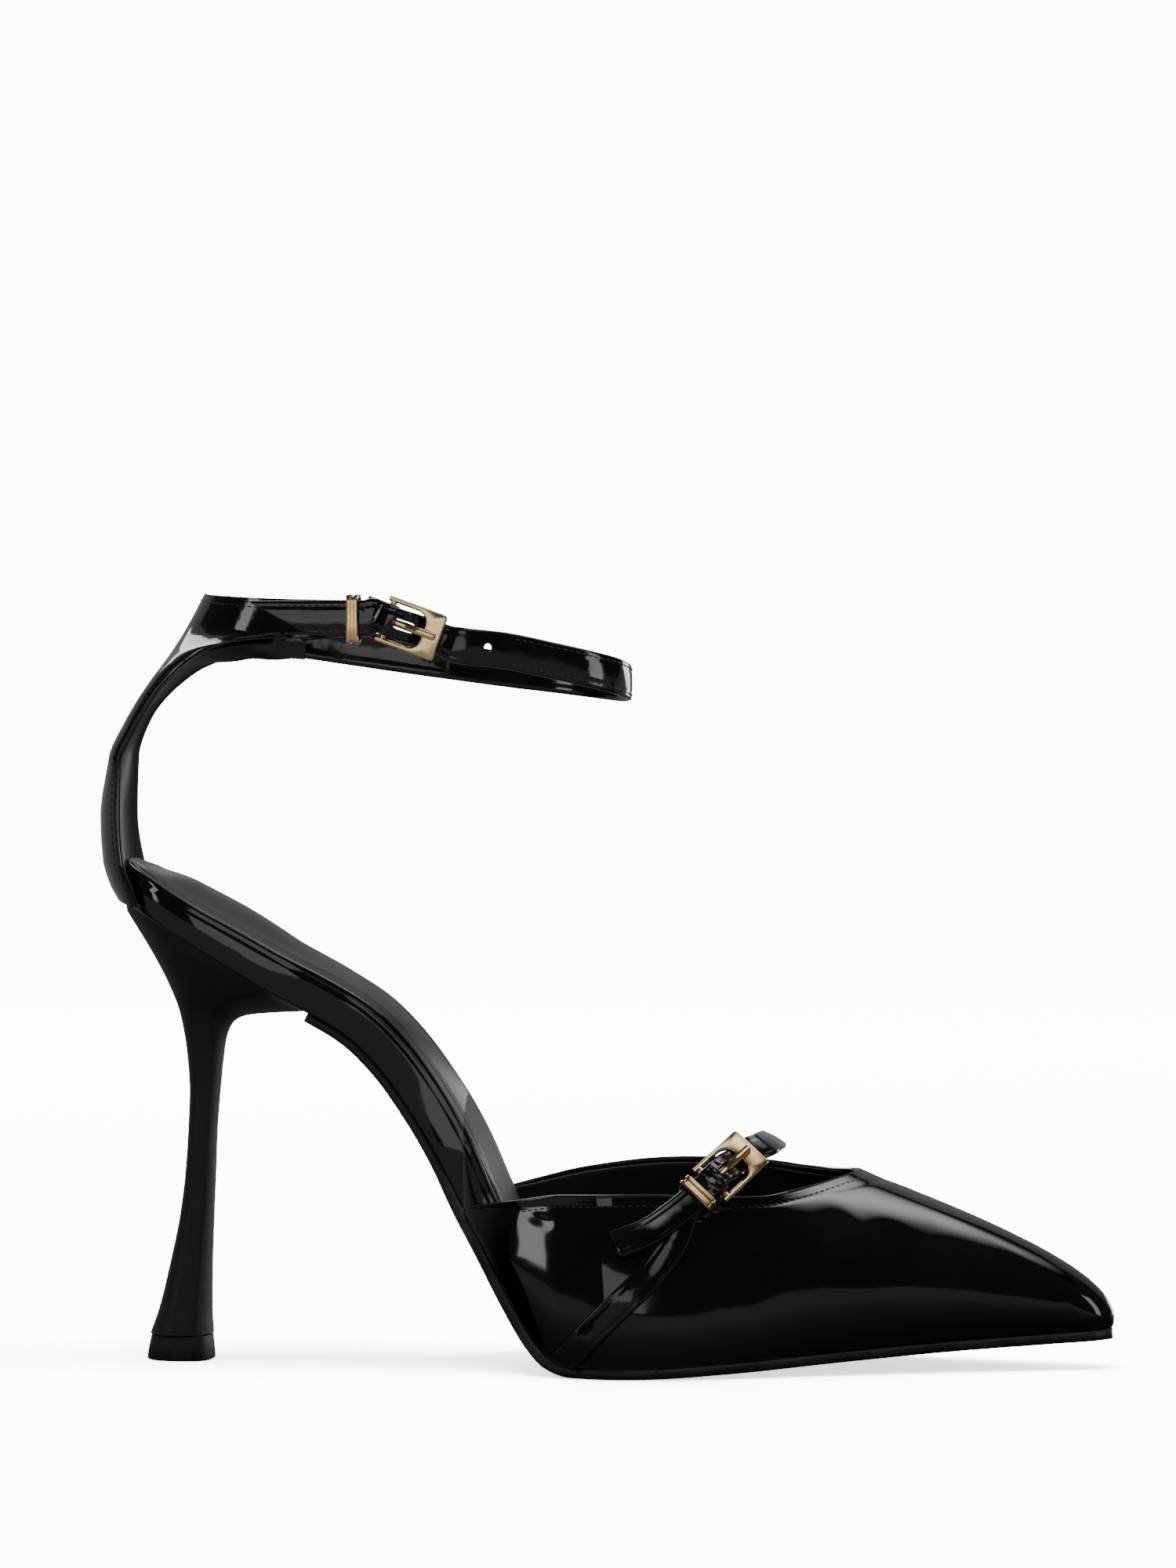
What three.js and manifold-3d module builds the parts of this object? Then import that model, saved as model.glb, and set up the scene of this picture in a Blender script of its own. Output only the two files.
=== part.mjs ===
// High heel pump, right shoe: pointed vamp, open waist, covered stiletto heel,
// back strap with a buckled ankle strap, and a buckled instep strap.
// Millimetres, +X towards the toe, +Y towards the inner side of the foot, +Z up.
import * as THREE from "three";
import { mergeVertices } from "three/addons/utils/BufferGeometryUtils.js";
import Module from "manifold-3d";

const wasm = await Module();
wasm.setup();

// ---------- driving dimensions ----------
const HEEL_HEIGHT = 103.6; // feather line above the floor at the back of the heel
const FORE_LENGTH = 145.5; // from the back of the vamp to the tip of the toe
const WIDTH_SCALE = 1; // widths of the sole against a size 38
const OUTSOLE_THICKNESS = 2.4;
const FIT = 0.3; // gap between neighbouring pieces

const VAMP_BACK_X = 65;
const TOE_TIP_X = VAMP_BACK_X + FORE_LENGTH;
const TOE_ROUND_X = TOE_TIP_X - 8.5; // where the toe starts to round off
const SEAT_BACK_X = -15.4;
const SEAT_ROUND_X = 6; // where the seat starts to round off

const TREAD_START_X = 88.5; // the ball rests on the floor from here
const TREAD_END_X = 104; // to here

const RAND_HEIGHT = 8;
const RAND_THICKNESS = 1.2;
const RAND_FRONT_X = 84; // its ends lie hidden inside the vamp
const INSOLE_THICKNESS = 1.8;
const SOCK_THICKNESS = 0.8;
const FOREPART_PADDING = 1;
const SHANK_WIDTH = 9;
const SHANK_THICKNESS = 1.2;
const HEEL_PAD_THICKNESS = 2.2;
const FOOTBED_CROWN = 1.4;

const UPPER_THICKNESS = 1.1;
const LINING_THICKNESS = 0.6;
const TOE_PUFF_THICKNESS = 0.6;
const UPPER_FLOOR_INSET = 4.3; // insole edge inside the feather line within the vamp

const TOP_PIECE_HEIGHT = 5.6;
const TOP_PIECE_LENGTH = 15.5;
const TOP_PIECE_WIDTH = 17.2;
const NECK_WIDTH = 9.3;

const STRAP_THICKNESS = 1.4;
const ANKLE_STRAP_WIDTH = 8.4;
const INSTEP_STRAP_WIDTH = 6.6;
const STRAP_IN_BUCKLE_WIDTH = 7.2;

const BAR_RADIUS = 0.75;
const BUCKLE_WIDTH = 10.8;
const BUCKLE_LEG = 1.2;
const BUCKLE_FRONT = 4.2;
const BUCKLE_LENGTH = 12.6; // from the bar to the front edge
const BUCKLE_PLATE = 1.4;
const PRONG_WIDTH = 1.8;
const PRONG_THICKNESS = 1.2;
const PRONG_PLAY = (16 * Math.PI) / 180; // buckle and prong tilt together
const KEEPER_LENGTH = 2.8;
const KEEPER_WALL = 0.8;

// ---------- curves ----------
const { sin, cos, sqrt, pow, abs, PI, min, max, hypot } = Math;
const V = (x, y, z) => new THREE.Vector3(x, y, z);
const mix = (a, b, t) => a + (b - a) * t;

function ramp(x, from, to) {
  const t = min(1, max(0, (x - from) / (to - from)));
  return t * t * (3 - 2 * t);
}

// A curve through rows of [t, a, b, ...] that keeps each column from overshooting.
function track(rows) {
  const t = rows.map((row) => row[0]);
  const slopes = rows.map((row) => row.map(() => 0));
  const step = (i, c) => (rows[i + 1][c] - rows[i][c]) / (t[i + 1] - t[i]);
  for (let c = 1; c < rows[0].length; c++) {
    for (let i = 0; i < rows.length; i++) {
      if (i === 0) slopes[i][c] = step(0, c);
      else if (i === rows.length - 1) slopes[i][c] = step(i - 1, c);
      else if (step(i - 1, c) * step(i, c) > 0) {
        const before = 2 * (t[i + 1] - t[i]) + (t[i] - t[i - 1]);
        const after = t[i + 1] - t[i] + 2 * (t[i] - t[i - 1]);
        slopes[i][c] = (before + after) / (before / step(i - 1, c) + after / step(i, c));
      }
    }
  }
  return (at) => {
    let i = 0;
    while (i < t.length - 2 && at > t[i + 1]) i++;
    const h = t[i + 1] - t[i];
    const s = min(1, max(0, (at - t[i]) / h));
    return rows[i].slice(1).map((value, k) => {
      const c = k + 1;
      const rise = rows[i + 1][c] - value;
      const start = slopes[i][c] * h;
      const end = slopes[i + 1][c] * h;
      return value + s * (start + s * (3 * rise - 2 * start - end + s * (start + end - 2 * rise)));
    });
  };
}

function bezier(a, b, c, d, t) {
  const r = 1 - t;
  return V(0, 0, 0)
    .addScaledVector(a, r * r * r)
    .addScaledVector(b, 3 * r * r * t)
    .addScaledVector(c, 3 * r * t * t)
    .addScaledVector(d, t * t * t);
}

// ---------- solids ----------
function meshFromGrid(outer, inner) {
  const rows = outer.length;
  const columns = outer[0].length;
  const points = [...outer.flat(), ...inner.flat()];
  const at = (side, i, j) => side * rows * columns + i * columns + j;
  const faces = [];
  const quad = (a, b, c, d) => faces.push(a, b, c, a, c, d);
  for (let i = 0; i < rows - 1; i++) {
    for (let j = 0; j < columns - 1; j++) {
      quad(at(0, i, j), at(0, i + 1, j), at(0, i + 1, j + 1), at(0, i, j + 1));
      quad(at(1, i, j), at(1, i, j + 1), at(1, i + 1, j + 1), at(1, i + 1, j));
    }
    quad(at(0, i, 0), at(1, i, 0), at(1, i + 1, 0), at(0, i + 1, 0));
    const last = columns - 1;
    quad(at(0, i, last), at(0, i + 1, last), at(1, i + 1, last), at(1, i, last));
  }
  for (let j = 0; j < columns - 1; j++) {
    quad(at(0, 0, j), at(0, 0, j + 1), at(1, 0, j + 1), at(1, 0, j));
    const last = rows - 1;
    quad(at(0, last, j), at(1, last, j), at(1, last, j + 1), at(0, last, j + 1));
  }
  return facing(points, faces);
}

// A closed geometry whose faces point outwards, whichever way its grid ran.
function facing(points, faces) {
  const geometry = new THREE.BufferGeometry().setFromPoints(points);
  let volume = 0;
  for (let i = 0; i < faces.length; i += 3) {
    const [a, b, c] = [points[faces[i]], points[faces[i + 1]], points[faces[i + 2]]];
    volume += a.dot(V(0, 0, 0).crossVectors(b, c));
  }
  if (volume < 0) faces.reverse();
  return geometry.setIndex(faces);
}

// A sheet of material: surface(u, v) is its face, and it fills from depth near to depth far under it.
function sheet(surface, uSteps, vSteps, near, far, uRange = [0, 1], vRange = [0, 1]) {
  const depth = (value, u, v) => (typeof value === "function" ? value(u, v) : value);
  const grids = [[], []];
  const nudge = 1e-4;
  for (let i = 0; i <= uSteps; i++) {
    const u = mix(uRange[0], uRange[1], i / uSteps);
    const rowNear = [];
    const rowFar = [];
    for (let j = 0; j <= vSteps; j++) {
      const v = mix(vRange[0], vRange[1], j / vSteps);
      const point = surface(u, v);
      const du = surface(u + nudge, v).sub(surface(u - nudge, v));
      const dv = surface(u, v + nudge).sub(surface(u, v - nudge));
      const normal = du.cross(dv).normalize();
      rowNear.push(point.clone().addScaledVector(normal, -depth(near, u, v)));
      rowFar.push(point.clone().addScaledVector(normal, -depth(far, u, v)));
    }
    grids[0].push(rowNear);
    grids[1].push(rowFar);
  }
  return meshFromGrid(grids[0], grids[1]);
}

// A solid skinned over a stack of rings with the same number of points.
function stack(rings) {
  const count = rings[0].length;
  const points = rings.flat();
  const faces = [];
  for (let i = 0; i < rings.length - 1; i++) {
    for (let j = 0; j < count; j++) {
      const a = i * count + j;
      const b = i * count + ((j + 1) % count);
      faces.push(a, b, b + count, a, b + count, a + count);
    }
  }
  const cap = (ring, start, turned) => {
    const centre = points.length;
    points.push(ring.reduce((sum, p) => sum.add(p), V(0, 0, 0)).divideScalar(count));
    for (let j = 0; j < count; j++) {
      const a = start + j;
      const b = start + ((j + 1) % count);
      faces.push(centre, turned ? b : a, turned ? a : b);
    }
  };
  cap(rings[0], 0, true);
  cap(rings[rings.length - 1], (rings.length - 1) * count, false);
  return facing(points, faces);
}

function solidOf(geometry) {
  const plain = geometry.index ? geometry.toNonIndexed() : geometry.clone();
  plain.deleteAttribute("normal");
  plain.deleteAttribute("uv");
  const merged = mergeVertices(plain, 1e-4);
  const vertProperties = merged.attributes.position.array;
  const triVerts = new Uint32Array(merged.index.array);
  return new wasm.Manifold(new wasm.Mesh({ numProp: 3, vertProperties, triVerts }));
}

function geometryOf(solid) {
  const mesh = solid.getMesh();
  const position = new THREE.BufferAttribute(new Float32Array(mesh.vertProperties), 3);
  const geometry = new THREE.BufferGeometry().setAttribute("position", position);
  return geometry.setIndex(new THREE.BufferAttribute(new Uint32Array(mesh.triVerts), 1));
}

function cut(geometry, ...cutters) {
  return geometryOf(cutters.reduce((solid, c) => solid.subtract(solidOf(c)), solidOf(geometry)));
}

function join(...geometries) {
  return geometryOf(geometries.map(solidOf).reduce((a, b) => a.add(b)));
}

// A round piece on the Z axis from [radius, z] corners, moved by a matrix.
function turned(profile, matrix = new THREE.Matrix4(), sides = 12) {
  const corners = profile.map(([r, z]) => new THREE.Vector2(r, z));
  const lathe = new THREE.LatheGeometry(corners, sides);
  return lathe.rotateX(PI / 2).applyMatrix4(matrix);
}

// ---------- the last: feather line and sole ----------
const BALL_X = 112; // the forepart stretches in front of here when its length changes
const toeward = (x) => BALL_X + ((x - BALL_X) * (TOE_TIP_X - BALL_X)) / (210.5 - BALL_X);
const seatRise = HEEL_HEIGHT - 103.6;
const featherProfile = track([
  [SEAT_BACK_X - 2, 107.2 + seatRise],
  [-8, 102.4 + seatRise],
  [7.2, 93.6 + seatRise],
  [21, 85.6 + seatRise],
  [31, 80.2 + seatRise],
  [38.4, 75.5 + seatRise * 0.9],
  [45.6, 68.4 + seatRise * 0.8],
  [52.2, 59.4 + seatRise * 0.65],
  [59.4, 47.6 + seatRise * 0.4],
  [64.5, 37.2 + seatRise * 0.25],
  [70.5, 26.6 + seatRise * 0.1],
  [76.9, 15.2],
  [82, 7.6],
  [86, 3.9],
  [TREAD_START_X + 2, OUTSOLE_THICKNESS + FIT],
  [TREAD_END_X - 2, OUTSOLE_THICKNESS + FIT],
  [toeward(125), OUTSOLE_THICKNESS + 1.3],
  [toeward(150), OUTSOLE_THICKNESS + 3.2],
  [toeward(175), OUTSOLE_THICKNESS + 5],
  [TOE_TIP_X, OUTSOLE_THICKNESS + 7],
]);
const feather = (x) => featherProfile(x)[0];

// The way up from the sole: plumb at the seat, square to the sole further on.
function upAt(x) {
  const slope = (feather(x + 0.05) - feather(x - 0.05)) / 0.1;
  return V(-slope * ramp(x, -6, 36), 0, 1).normalize();
}

const outerWidth = track([
  [SEAT_BACK_X, 20],
  [SEAT_ROUND_X, 20.6],
  [20, 21.6],
  [36, 19.6],
  [50, 18.6],
  [62, 20.6],
  [75, 26],
  [88, 33],
  [100, 37],
  [112, 36.2],
  [toeward(125), 32.4],
  [toeward(140), 26.4],
  [toeward(155), 20.6],
  [toeward(170), 15.4],
  [toeward(185), 11],
  [TOE_ROUND_X - 5, 7.8],
  [TOE_ROUND_X, 6.6],
  [TOE_TIP_X, 5.4],
]);
const innerWidth = track([
  [SEAT_BACK_X, 20],
  [SEAT_ROUND_X, 20.6],
  [20, 20.8],
  [36, 17.8],
  [50, 16],
  [62, 17.4],
  [75, 22.4],
  [88, 29],
  [100, 34.6],
  [112, 37.2],
  [toeward(125), 35.4],
  [toeward(140), 29.8],
  [toeward(155), 23],
  [toeward(170), 16.8],
  [toeward(185), 11.4],
  [TOE_ROUND_X - 5, 7.8],
  [TOE_ROUND_X, 6.6],
  [TOE_TIP_X, 5.4],
]);

// Half width of the outline, inset from the feather line: side -1 is the foot's outer side, +1 the inner.
function halfWidth(x, side, inset = 0) {
  const base = (side < 0 ? outerWidth : innerWidth)(x)[0] * WIDTH_SCALE - inset;
  const toe = max(0, (x - TOE_ROUND_X) / (TOE_TIP_X - inset - TOE_ROUND_X));
  const seat = max(0, (SEAT_ROUND_X - x) / (SEAT_ROUND_X - SEAT_BACK_X - inset));
  const toeRound = sqrt(max(0, 1 - toe * toe));
  const seatRound = pow(max(0, 1 - pow(seat, 2.4)), 1 / 2.4);
  return base * toeRound * seatRound;
}

// Places along the shoe where every layer of the sole has a section, closer where it bends.
const BENDS = [
  2, 9, 16, 24, 31, 38, 45, 52, 58, 63.5, 68.5, 73, 76.5, 79.5, 82, 84.5, 87, 90, 96, 103,
];
const TOEWARD_BENDS = [113, 124, 135, 146, 157, 168, 179, 189];
const END_STEPS = [0.25, 1, 2.4, 4.6, 8, 12.5];

function sectionsBetween(fromX, toX) {
  const roundBack = fromX < 0 ? END_STEPS.map((step) => fromX + step) : [];
  const roundFront = toX > TOE_ROUND_X - 10 ? END_STEPS.map((step) => toX - step) : [];
  const low = roundBack.length ? fromX + END_STEPS.at(-1) + 2 : fromX + 2;
  const high = roundFront.length ? toX - END_STEPS.at(-1) - 2 : toX - 2;
  const inner = [...BENDS, ...TOEWARD_BENDS.map(toeward)].filter((x) => x > low && x < high);
  return [fromX, ...roundBack, ...inner, ...roundFront.reverse(), toX];
}

// A layer of the sole between two heights above the feather line.
function soleLayer(fromX, toX, inset, low, high, across = 3) {
  const grid = (height) =>
    sectionsBetween(fromX, toX).map((x) => {
      const left = max(0.5, halfWidth(x, -1, inset(x)));
      const right = max(0.5, halfWidth(x, 1, inset(x)));
      return Array.from({ length: across + 1 }, (_, j) => {
        const y = mix(-left, right, j / across);
        return V(x, y, feather(x)).addScaledVector(upAt(x), height(x, y));
      });
    });
  return meshFromGrid(grid(high), grid(low));
}

const floorInset = (x) => mix(RAND_THICKNESS + 2 * FIT, UPPER_FLOOR_INSET, ramp(x, 58, 68));
const inForepart = (x) => ramp(x, 52, 96);
const seatPadding = RAND_HEIGHT - SOCK_THICKNESS - 2 * FIT;
const forepartPadding = INSOLE_THICKNESS + FIT + FOREPART_PADDING;

function paddingTop(x, y) {
  const half = halfWidth(x, y < 0 ? -1 : 1);
  const crown = FOOTBED_CROWN * max(0, 1 - (y / half) ** 2) * (1 - inForepart(x));
  return mix(seatPadding, forepartPadding, inForepart(x)) + crown;
}

// ---------- sole pieces ----------
const BREAST_X = 29.5; // the outsole starts in front of the heel

const outsole = () =>
  soleLayer(BREAST_X, TOE_TIP_X - 0.1, (x) => mix(0.7, 0, ramp(x, 55, 90)),
    () => -FIT - OUTSOLE_THICKNESS, () => -FIT, 2);

const HEEL_NAILS = [
  [-3, -7, 12],
  [-3, 7, 12],
  [14, -9, 7],
  [14, 9, 7],
];
const HEEL_SCREW_X = 3;
const SHANK_START_X = 12;
const SHANK_END_X = 77;
const RIVET_X = 62;

const SCREW_LENGTH = 24;
const SCREW_RADIUS = 1.9;
const SCREW_HEAD_RADIUS = 3.4;
const SCREW_HEAD_HEIGHT = 1.6;
const SCREW_RISE = 2; // its head stands this far above the insole
const NAIL_RADIUS = 0.8;
const NAIL_HEAD_RADIUS = 1.9;
const NAIL_HEAD_HEIGHT = 0.8;
const NAIL_RISE = 1.4;

function screw(grow = 0) {
  const top = feather(HEEL_SCREW_X) + INSOLE_THICKNESS + SCREW_RISE;
  const head = SCREW_HEAD_RADIUS + grow;
  const shaft = SCREW_RADIUS + grow;
  const profile = [
    [0, -SCREW_LENGTH - grow],
    [1 + grow, 1 - SCREW_LENGTH],
    [shaft, 4 - SCREW_LENGTH],
    [shaft, -3],
    [head, -SCREW_HEAD_HEIGHT],
    [head, grow],
    [0, grow],
  ];
  return turned(profile, new THREE.Matrix4().makeTranslation(HEEL_SCREW_X, 0, top));
}

function nail([x, y, length], grow = 0) {
  const top = feather(x) + INSOLE_THICKNESS + NAIL_RISE;
  const head = NAIL_HEAD_RADIUS + grow;
  const shaft = NAIL_RADIUS + grow;
  const underHead = -NAIL_HEAD_HEIGHT - grow;
  const profile = [
    [0, -length - grow],
    [shaft, -length + 1],
    [shaft, underHead],
    [head, underHead],
    [head, grow],
    [0, grow],
  ];
  return turned(profile, new THREE.Matrix4().makeTranslation(x, y, top), 8);
}

const RIVET_HEAD_RADIUS = 2.6;
const RIVET_HEAD_BASE = INSOLE_THICKNESS + SHANK_THICKNESS + 2 * FIT;
const RIVET_HEAD_TOP = RIVET_HEAD_BASE + 0.7;

function rivetMatrix() {
  const turn = new THREE.Quaternion().setFromUnitVectors(V(0, 0, 1), upAt(RIVET_X));
  return new THREE.Matrix4().compose(V(RIVET_X, 0, feather(RIVET_X)), turn, V(1, 1, 1));
}

function rivet(grow = 0) {
  const body = 1.4 + grow;
  const profile = [[0, -grow], [body, -grow], [body, RIVET_HEAD_BASE], [RIVET_HEAD_RADIUS, RIVET_HEAD_BASE],
    [RIVET_HEAD_RADIUS, RIVET_HEAD_TOP], [0, RIVET_HEAD_TOP]];
  return turned(profile, rivetMatrix());
}

function rivetPocket() {
  const radius = RIVET_HEAD_RADIUS + FIT;
  const top = RIVET_HEAD_TOP + FIT;
  return turned([[0, 0], [radius, 0], [radius, top], [0, top]], rivetMatrix());
}

const fastenerHoles = () => [screw(FIT), ...HEEL_NAILS.map((n) => nail(n, FIT))];

function strip(fromX, toX, half, low, high) {
  const grid = (height) =>
    sectionsBetween(fromX, toX).map((x) =>
      [-half, half].map((y) => V(x, y, feather(x)).addScaledVector(upAt(x), height)),
    );
  return meshFromGrid(grid(high), grid(low));
}

const insoleBoard = () =>
  cut(soleLayer(SEAT_BACK_X + 2.1, TOE_TIP_X - 5, floorInset, () => 0, () => INSOLE_THICKNESS),
    ...fastenerHoles(), rivet(FIT));

const SHANK_BASE = INSOLE_THICKNESS + FIT;
const SHANK_TOP = SHANK_BASE + SHANK_THICKNESS;

const steelShank = () =>
  cut(strip(SHANK_START_X, SHANK_END_X, SHANK_WIDTH / 2, SHANK_BASE, SHANK_TOP), rivet(FIT));

const shankSlot = () =>
  strip(SHANK_START_X - FIT, SHANK_END_X + FIT, SHANK_WIDTH / 2 + FIT, SHANK_BASE - 1, SHANK_TOP + FIT);

const footbedFiller = () =>
  cut(soleLayer(SEAT_BACK_X + 2.1, TOE_TIP_X - 5.5, floorInset, () => SHANK_BASE, paddingTop, 6),
    ...fastenerHoles(), shankSlot(), rivetPocket());

const PAD_START_X = -9;
const PAD_END_X = 30;
const PAD_HALF_WIDTH = 12;

function padRise(x, y) {
  const along = ramp(x, PAD_START_X - 3, 1) * (1 - ramp(x, 6, PAD_END_X + 2));
  const across = 1 - ramp(abs(y), 4, PAD_HALF_WIDTH + 2);
  return HEEL_PAD_THICKNESS * along * across;
}

const heelPad = () =>
  soleLayer(PAD_START_X, PAD_END_X, (x) => halfWidth(x, 1) - PAD_HALF_WIDTH,
    (x, y) => paddingTop(x, y) + FIT, (x, y) => paddingTop(x, y) + FIT * 2 + padRise(x, y), 6);

const sockBase = (x, y) => paddingTop(x, y) + padRise(x, y) + FIT * (3 - inForepart(x) * 2);

const sockLining = () =>
  soleLayer(SEAT_BACK_X + 2.1, TOE_TIP_X - 6, floorInset, sockBase,
    (x, y) => sockBase(x, y) + SOCK_THICKNESS, 6);

function randSurface(u, v) {
  const angle = PI * u;
  const side = u < 0.5 ? 1 : -1;
  const x = RAND_FRONT_X - (RAND_FRONT_X - SEAT_BACK_X) * sin(angle);
  const inset = (UPPER_FLOOR_INSET - RAND_THICKNESS - 2 * FIT) * ramp(x, 58, 68);
  const top = mix(RAND_HEIGHT, forepartPadding + FIT, inForepart(x));
  const y = side * halfWidth(x, side, inset);
  return V(x, y, feather(x)).addScaledVector(upAt(x), mix(0, top, v));
}

const rand = () => sheet(randSurface, 44, 1, 0, RAND_THICKNESS);

// ---------- heel ----------
const level = (z) => z + seatRise * min(1, z / 93);
const HEEL_BASE = TOP_PIECE_HEIGHT + FIT;
const TIP_BACK_X = -10.6;
const TIP_FRONT_X = TIP_BACK_X + TOP_PIECE_LENGTH;
const TIP_CENTRE_X = (TIP_BACK_X + TIP_FRONT_X) / 2;
const RING_POINTS = 22;

// A closed section with a round back and a squarer front, from its back and front points.
function heelRing(backX, backZ, frontX, frontZ, half, frontPower = 0.55) {
  return Array.from({ length: RING_POINTS }, (_, i) => {
    const angle = (2 * PI * i) / RING_POINTS;
    const c = cos(angle);
    const along = c > 0 ? pow(c, frontPower) : c;
    const s = sin(angle);
    const across = Math.sign(s) * pow(abs(s), c > 0 ? 0.8 : 1);
    const t = (along + 1) / 2;
    return V(mix(backX, frontX, t), half * across, mix(backZ, frontZ, t));
  });
}

function seatRing() {
  const inset = 0.9;
  const back = SEAT_BACK_X + inset;
  return heelRing(back, 0, BREAST_X - 2, 0, 1, 0.3).map((p) => {
    const side = p.y < 0 ? -1 : 1;
    const half = max(0, halfWidth(p.x, side) - inset);
    const fill = p.x > SEAT_ROUND_X ? min(1, abs(p.y) * 1.6) : 1;
    return V(p.x, side * half * fill, feather(p.x) - FIT);
  });
}

function heelBlock() {
  const tipHalf = TOP_PIECE_WIDTH / 2 - 0.1;
  const neck = NECK_WIDTH / 2;
  const rings = [
    heelRing(TIP_BACK_X + 0.8, HEEL_BASE, TIP_FRONT_X - 0.2, HEEL_BASE, tipHalf),
    heelRing(-7.8, level(11.6), 4.4, level(11.6), mix(neck, tipHalf, 0.74)),
    heelRing(-5.4, level(21.3), 4.5, level(21.3), mix(neck, tipHalf, 0.38)),
    heelRing(-2.9, level(33.4), 4.9, level(33.4), mix(neck, tipHalf, 0.12)),
    heelRing(-1.7, level(43.1), 5.3, level(42.8), neck),
    heelRing(-1, level(53.5), 5.7, level(53.3), neck),
    heelRing(-0.7, level(61.6), 6.4, level(62), neck * 1.06),
    heelRing(-1.2, level(69.6), 7, level(68.4), neck * 1.25),
    heelRing(-2.8, level(79.2), 7.8, level(73.8), neck * 1.62),
    heelRing(-5.2, level(85.7), 9.4, level(77.2), neck * 2.05),
    heelRing(-9.3, level(93.7), 13, level(78.9), neck * 2.75, 0.45),
    heelRing(-12.9, level(99.6), 20.5, level(79.6), neck * 3.5, 0.38),
    heelRing(-15, level(103), 26.6, level(79.9), neck * 4, 0.33),
    seatRing(),
  ];
  return cut(stack(rings), ...fastenerHoles(), reinforcingTube(FIT, FIT), dowel(FIT));
}

function topPiece() {
  const half = TOP_PIECE_WIDTH / 2;
  const rings = [
    heelRing(TIP_BACK_X + 0.4, 0, TIP_FRONT_X - 0.3, 0, half - 0.3),
    heelRing(TIP_BACK_X, 0.5, TIP_FRONT_X, 0.5, half),
    heelRing(TIP_BACK_X + 0.7, TOP_PIECE_HEIGHT, TIP_FRONT_X - 0.2, TOP_PIECE_HEIGHT, half - 0.1),
  ];
  return cut(stack(rings), dowel(FIT));
}

const TUBE_RADIUS = 2.1;
const TUBE_BORE = 1.45;
const DOWEL_RADIUS = 1.1;
const DOWEL_IN_TIP = 4;
const DOWEL_IN_HEEL = 12.6;
const TUBE_FOOT = V(-1.7, 0, HEEL_BASE + FIT);
const TUBE_HEAD = V(2.9, 0, level(72));

function tubeMatrix() {
  const axis = TUBE_HEAD.clone().sub(TUBE_FOOT).normalize();
  const turn = new THREE.Quaternion().setFromUnitVectors(V(0, 0, 1), axis);
  return new THREE.Matrix4().compose(TUBE_FOOT, turn, V(1, 1, 1));
}

function reinforcingTube(grow = 0, filled = 0) {
  const length = TUBE_HEAD.distanceTo(TUBE_FOOT);
  const outer = TUBE_RADIUS + grow;
  const low = filled ? -2 : 0;
  const profile = filled
    ? [[0, low], [outer, low], [outer, length + grow], [0, length + grow]]
    : [[TUBE_BORE, 0], [outer, 0], [outer, length], [TUBE_BORE, length], [TUBE_BORE, 0]];
  return turned(profile, tubeMatrix());
}

function dowel(grow = 0) {
  const radius = DOWEL_RADIUS + grow;
  const low = -DOWEL_IN_TIP - grow;
  const high = DOWEL_IN_HEEL + grow;
  const profile = [[0, low], [radius, low], [radius, DOWEL_IN_HEEL - 0.6], [radius * 0.6, high], [0, high]];
  return turned(profile, tubeMatrix(), 12);
}

// ---------- vamp ----------
// [station, x, share of the half width, height] along each side of the opening, throat last.
const outerTopline = track([
  [0, VAMP_BACK_X + 1.5, 1, 36.9],
  [0.05, 77, 0.97, 38.5],
  [0.1, 88, 0.94, 40.2],
  [0.2, 108, 0.87, 40.6],
  [0.3, toeward(122), 0.853, 39.8],
  [0.4, toeward(132), 0.81, 39.9],
  [0.5, toeward(139), 0.71, 40.9],
  [0.6, toeward(145), 0.566, 42.2],
  [0.8, toeward(151.8), 0.27, 44],
  [1, toeward(153.5), 0, 44.5],
]);
const innerTopline = track([
  [0, VAMP_BACK_X + 1.5, 1, 36.9],
  [0.05, 77, 0.97, 39.6],
  [0.1, 88, 0.94, 42],
  [0.2, 108, 0.84, 44.1],
  [0.3, toeward(122), 0.8, 44.3],
  [0.4, toeward(132), 0.76, 44],
  [0.5, toeward(139), 0.67, 43.6],
  [0.6, toeward(145), 0.53, 43.5],
  [0.8, toeward(151.8), 0.26, 44.1],
  [1, toeward(153.5), 0, 44.5],
]);
// How far each strip of the vamp leaves its topline: [station, forward, sideways, share of height down].
const toplineLead = track([
  [0, 0, 0, 0.3],
  [0.2, 0, 3.2, 0.3],
  [0.3, 1.5, 4, 0.28],
  [0.4, 5, 4.5, 0.27],
  [0.6, 17, 4, 0.25],
  [0.8, 27, 2.2, 0.3],
  [1, 32.5, 0, 0.35],
]);

// station 0 is the back of the outer side, 1 the toe, 2 the back of the inner side.
function vampFoot(station) {
  const x = VAMP_BACK_X + FORE_LENGTH * sin((PI * station) / 2);
  const side = station < 1 ? -1 : 1;
  return V(x, side * halfWidth(x, side), feather(x));
}

function vampTop(station) {
  const side = station < 1 ? -1 : 1;
  const local = station < 1 ? station : 2 - station;
  const [x, share, z] = (side < 0 ? outerTopline : innerTopline)(local);
  return V(x, side * halfWidth(x, side) * share, z);
}

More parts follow.
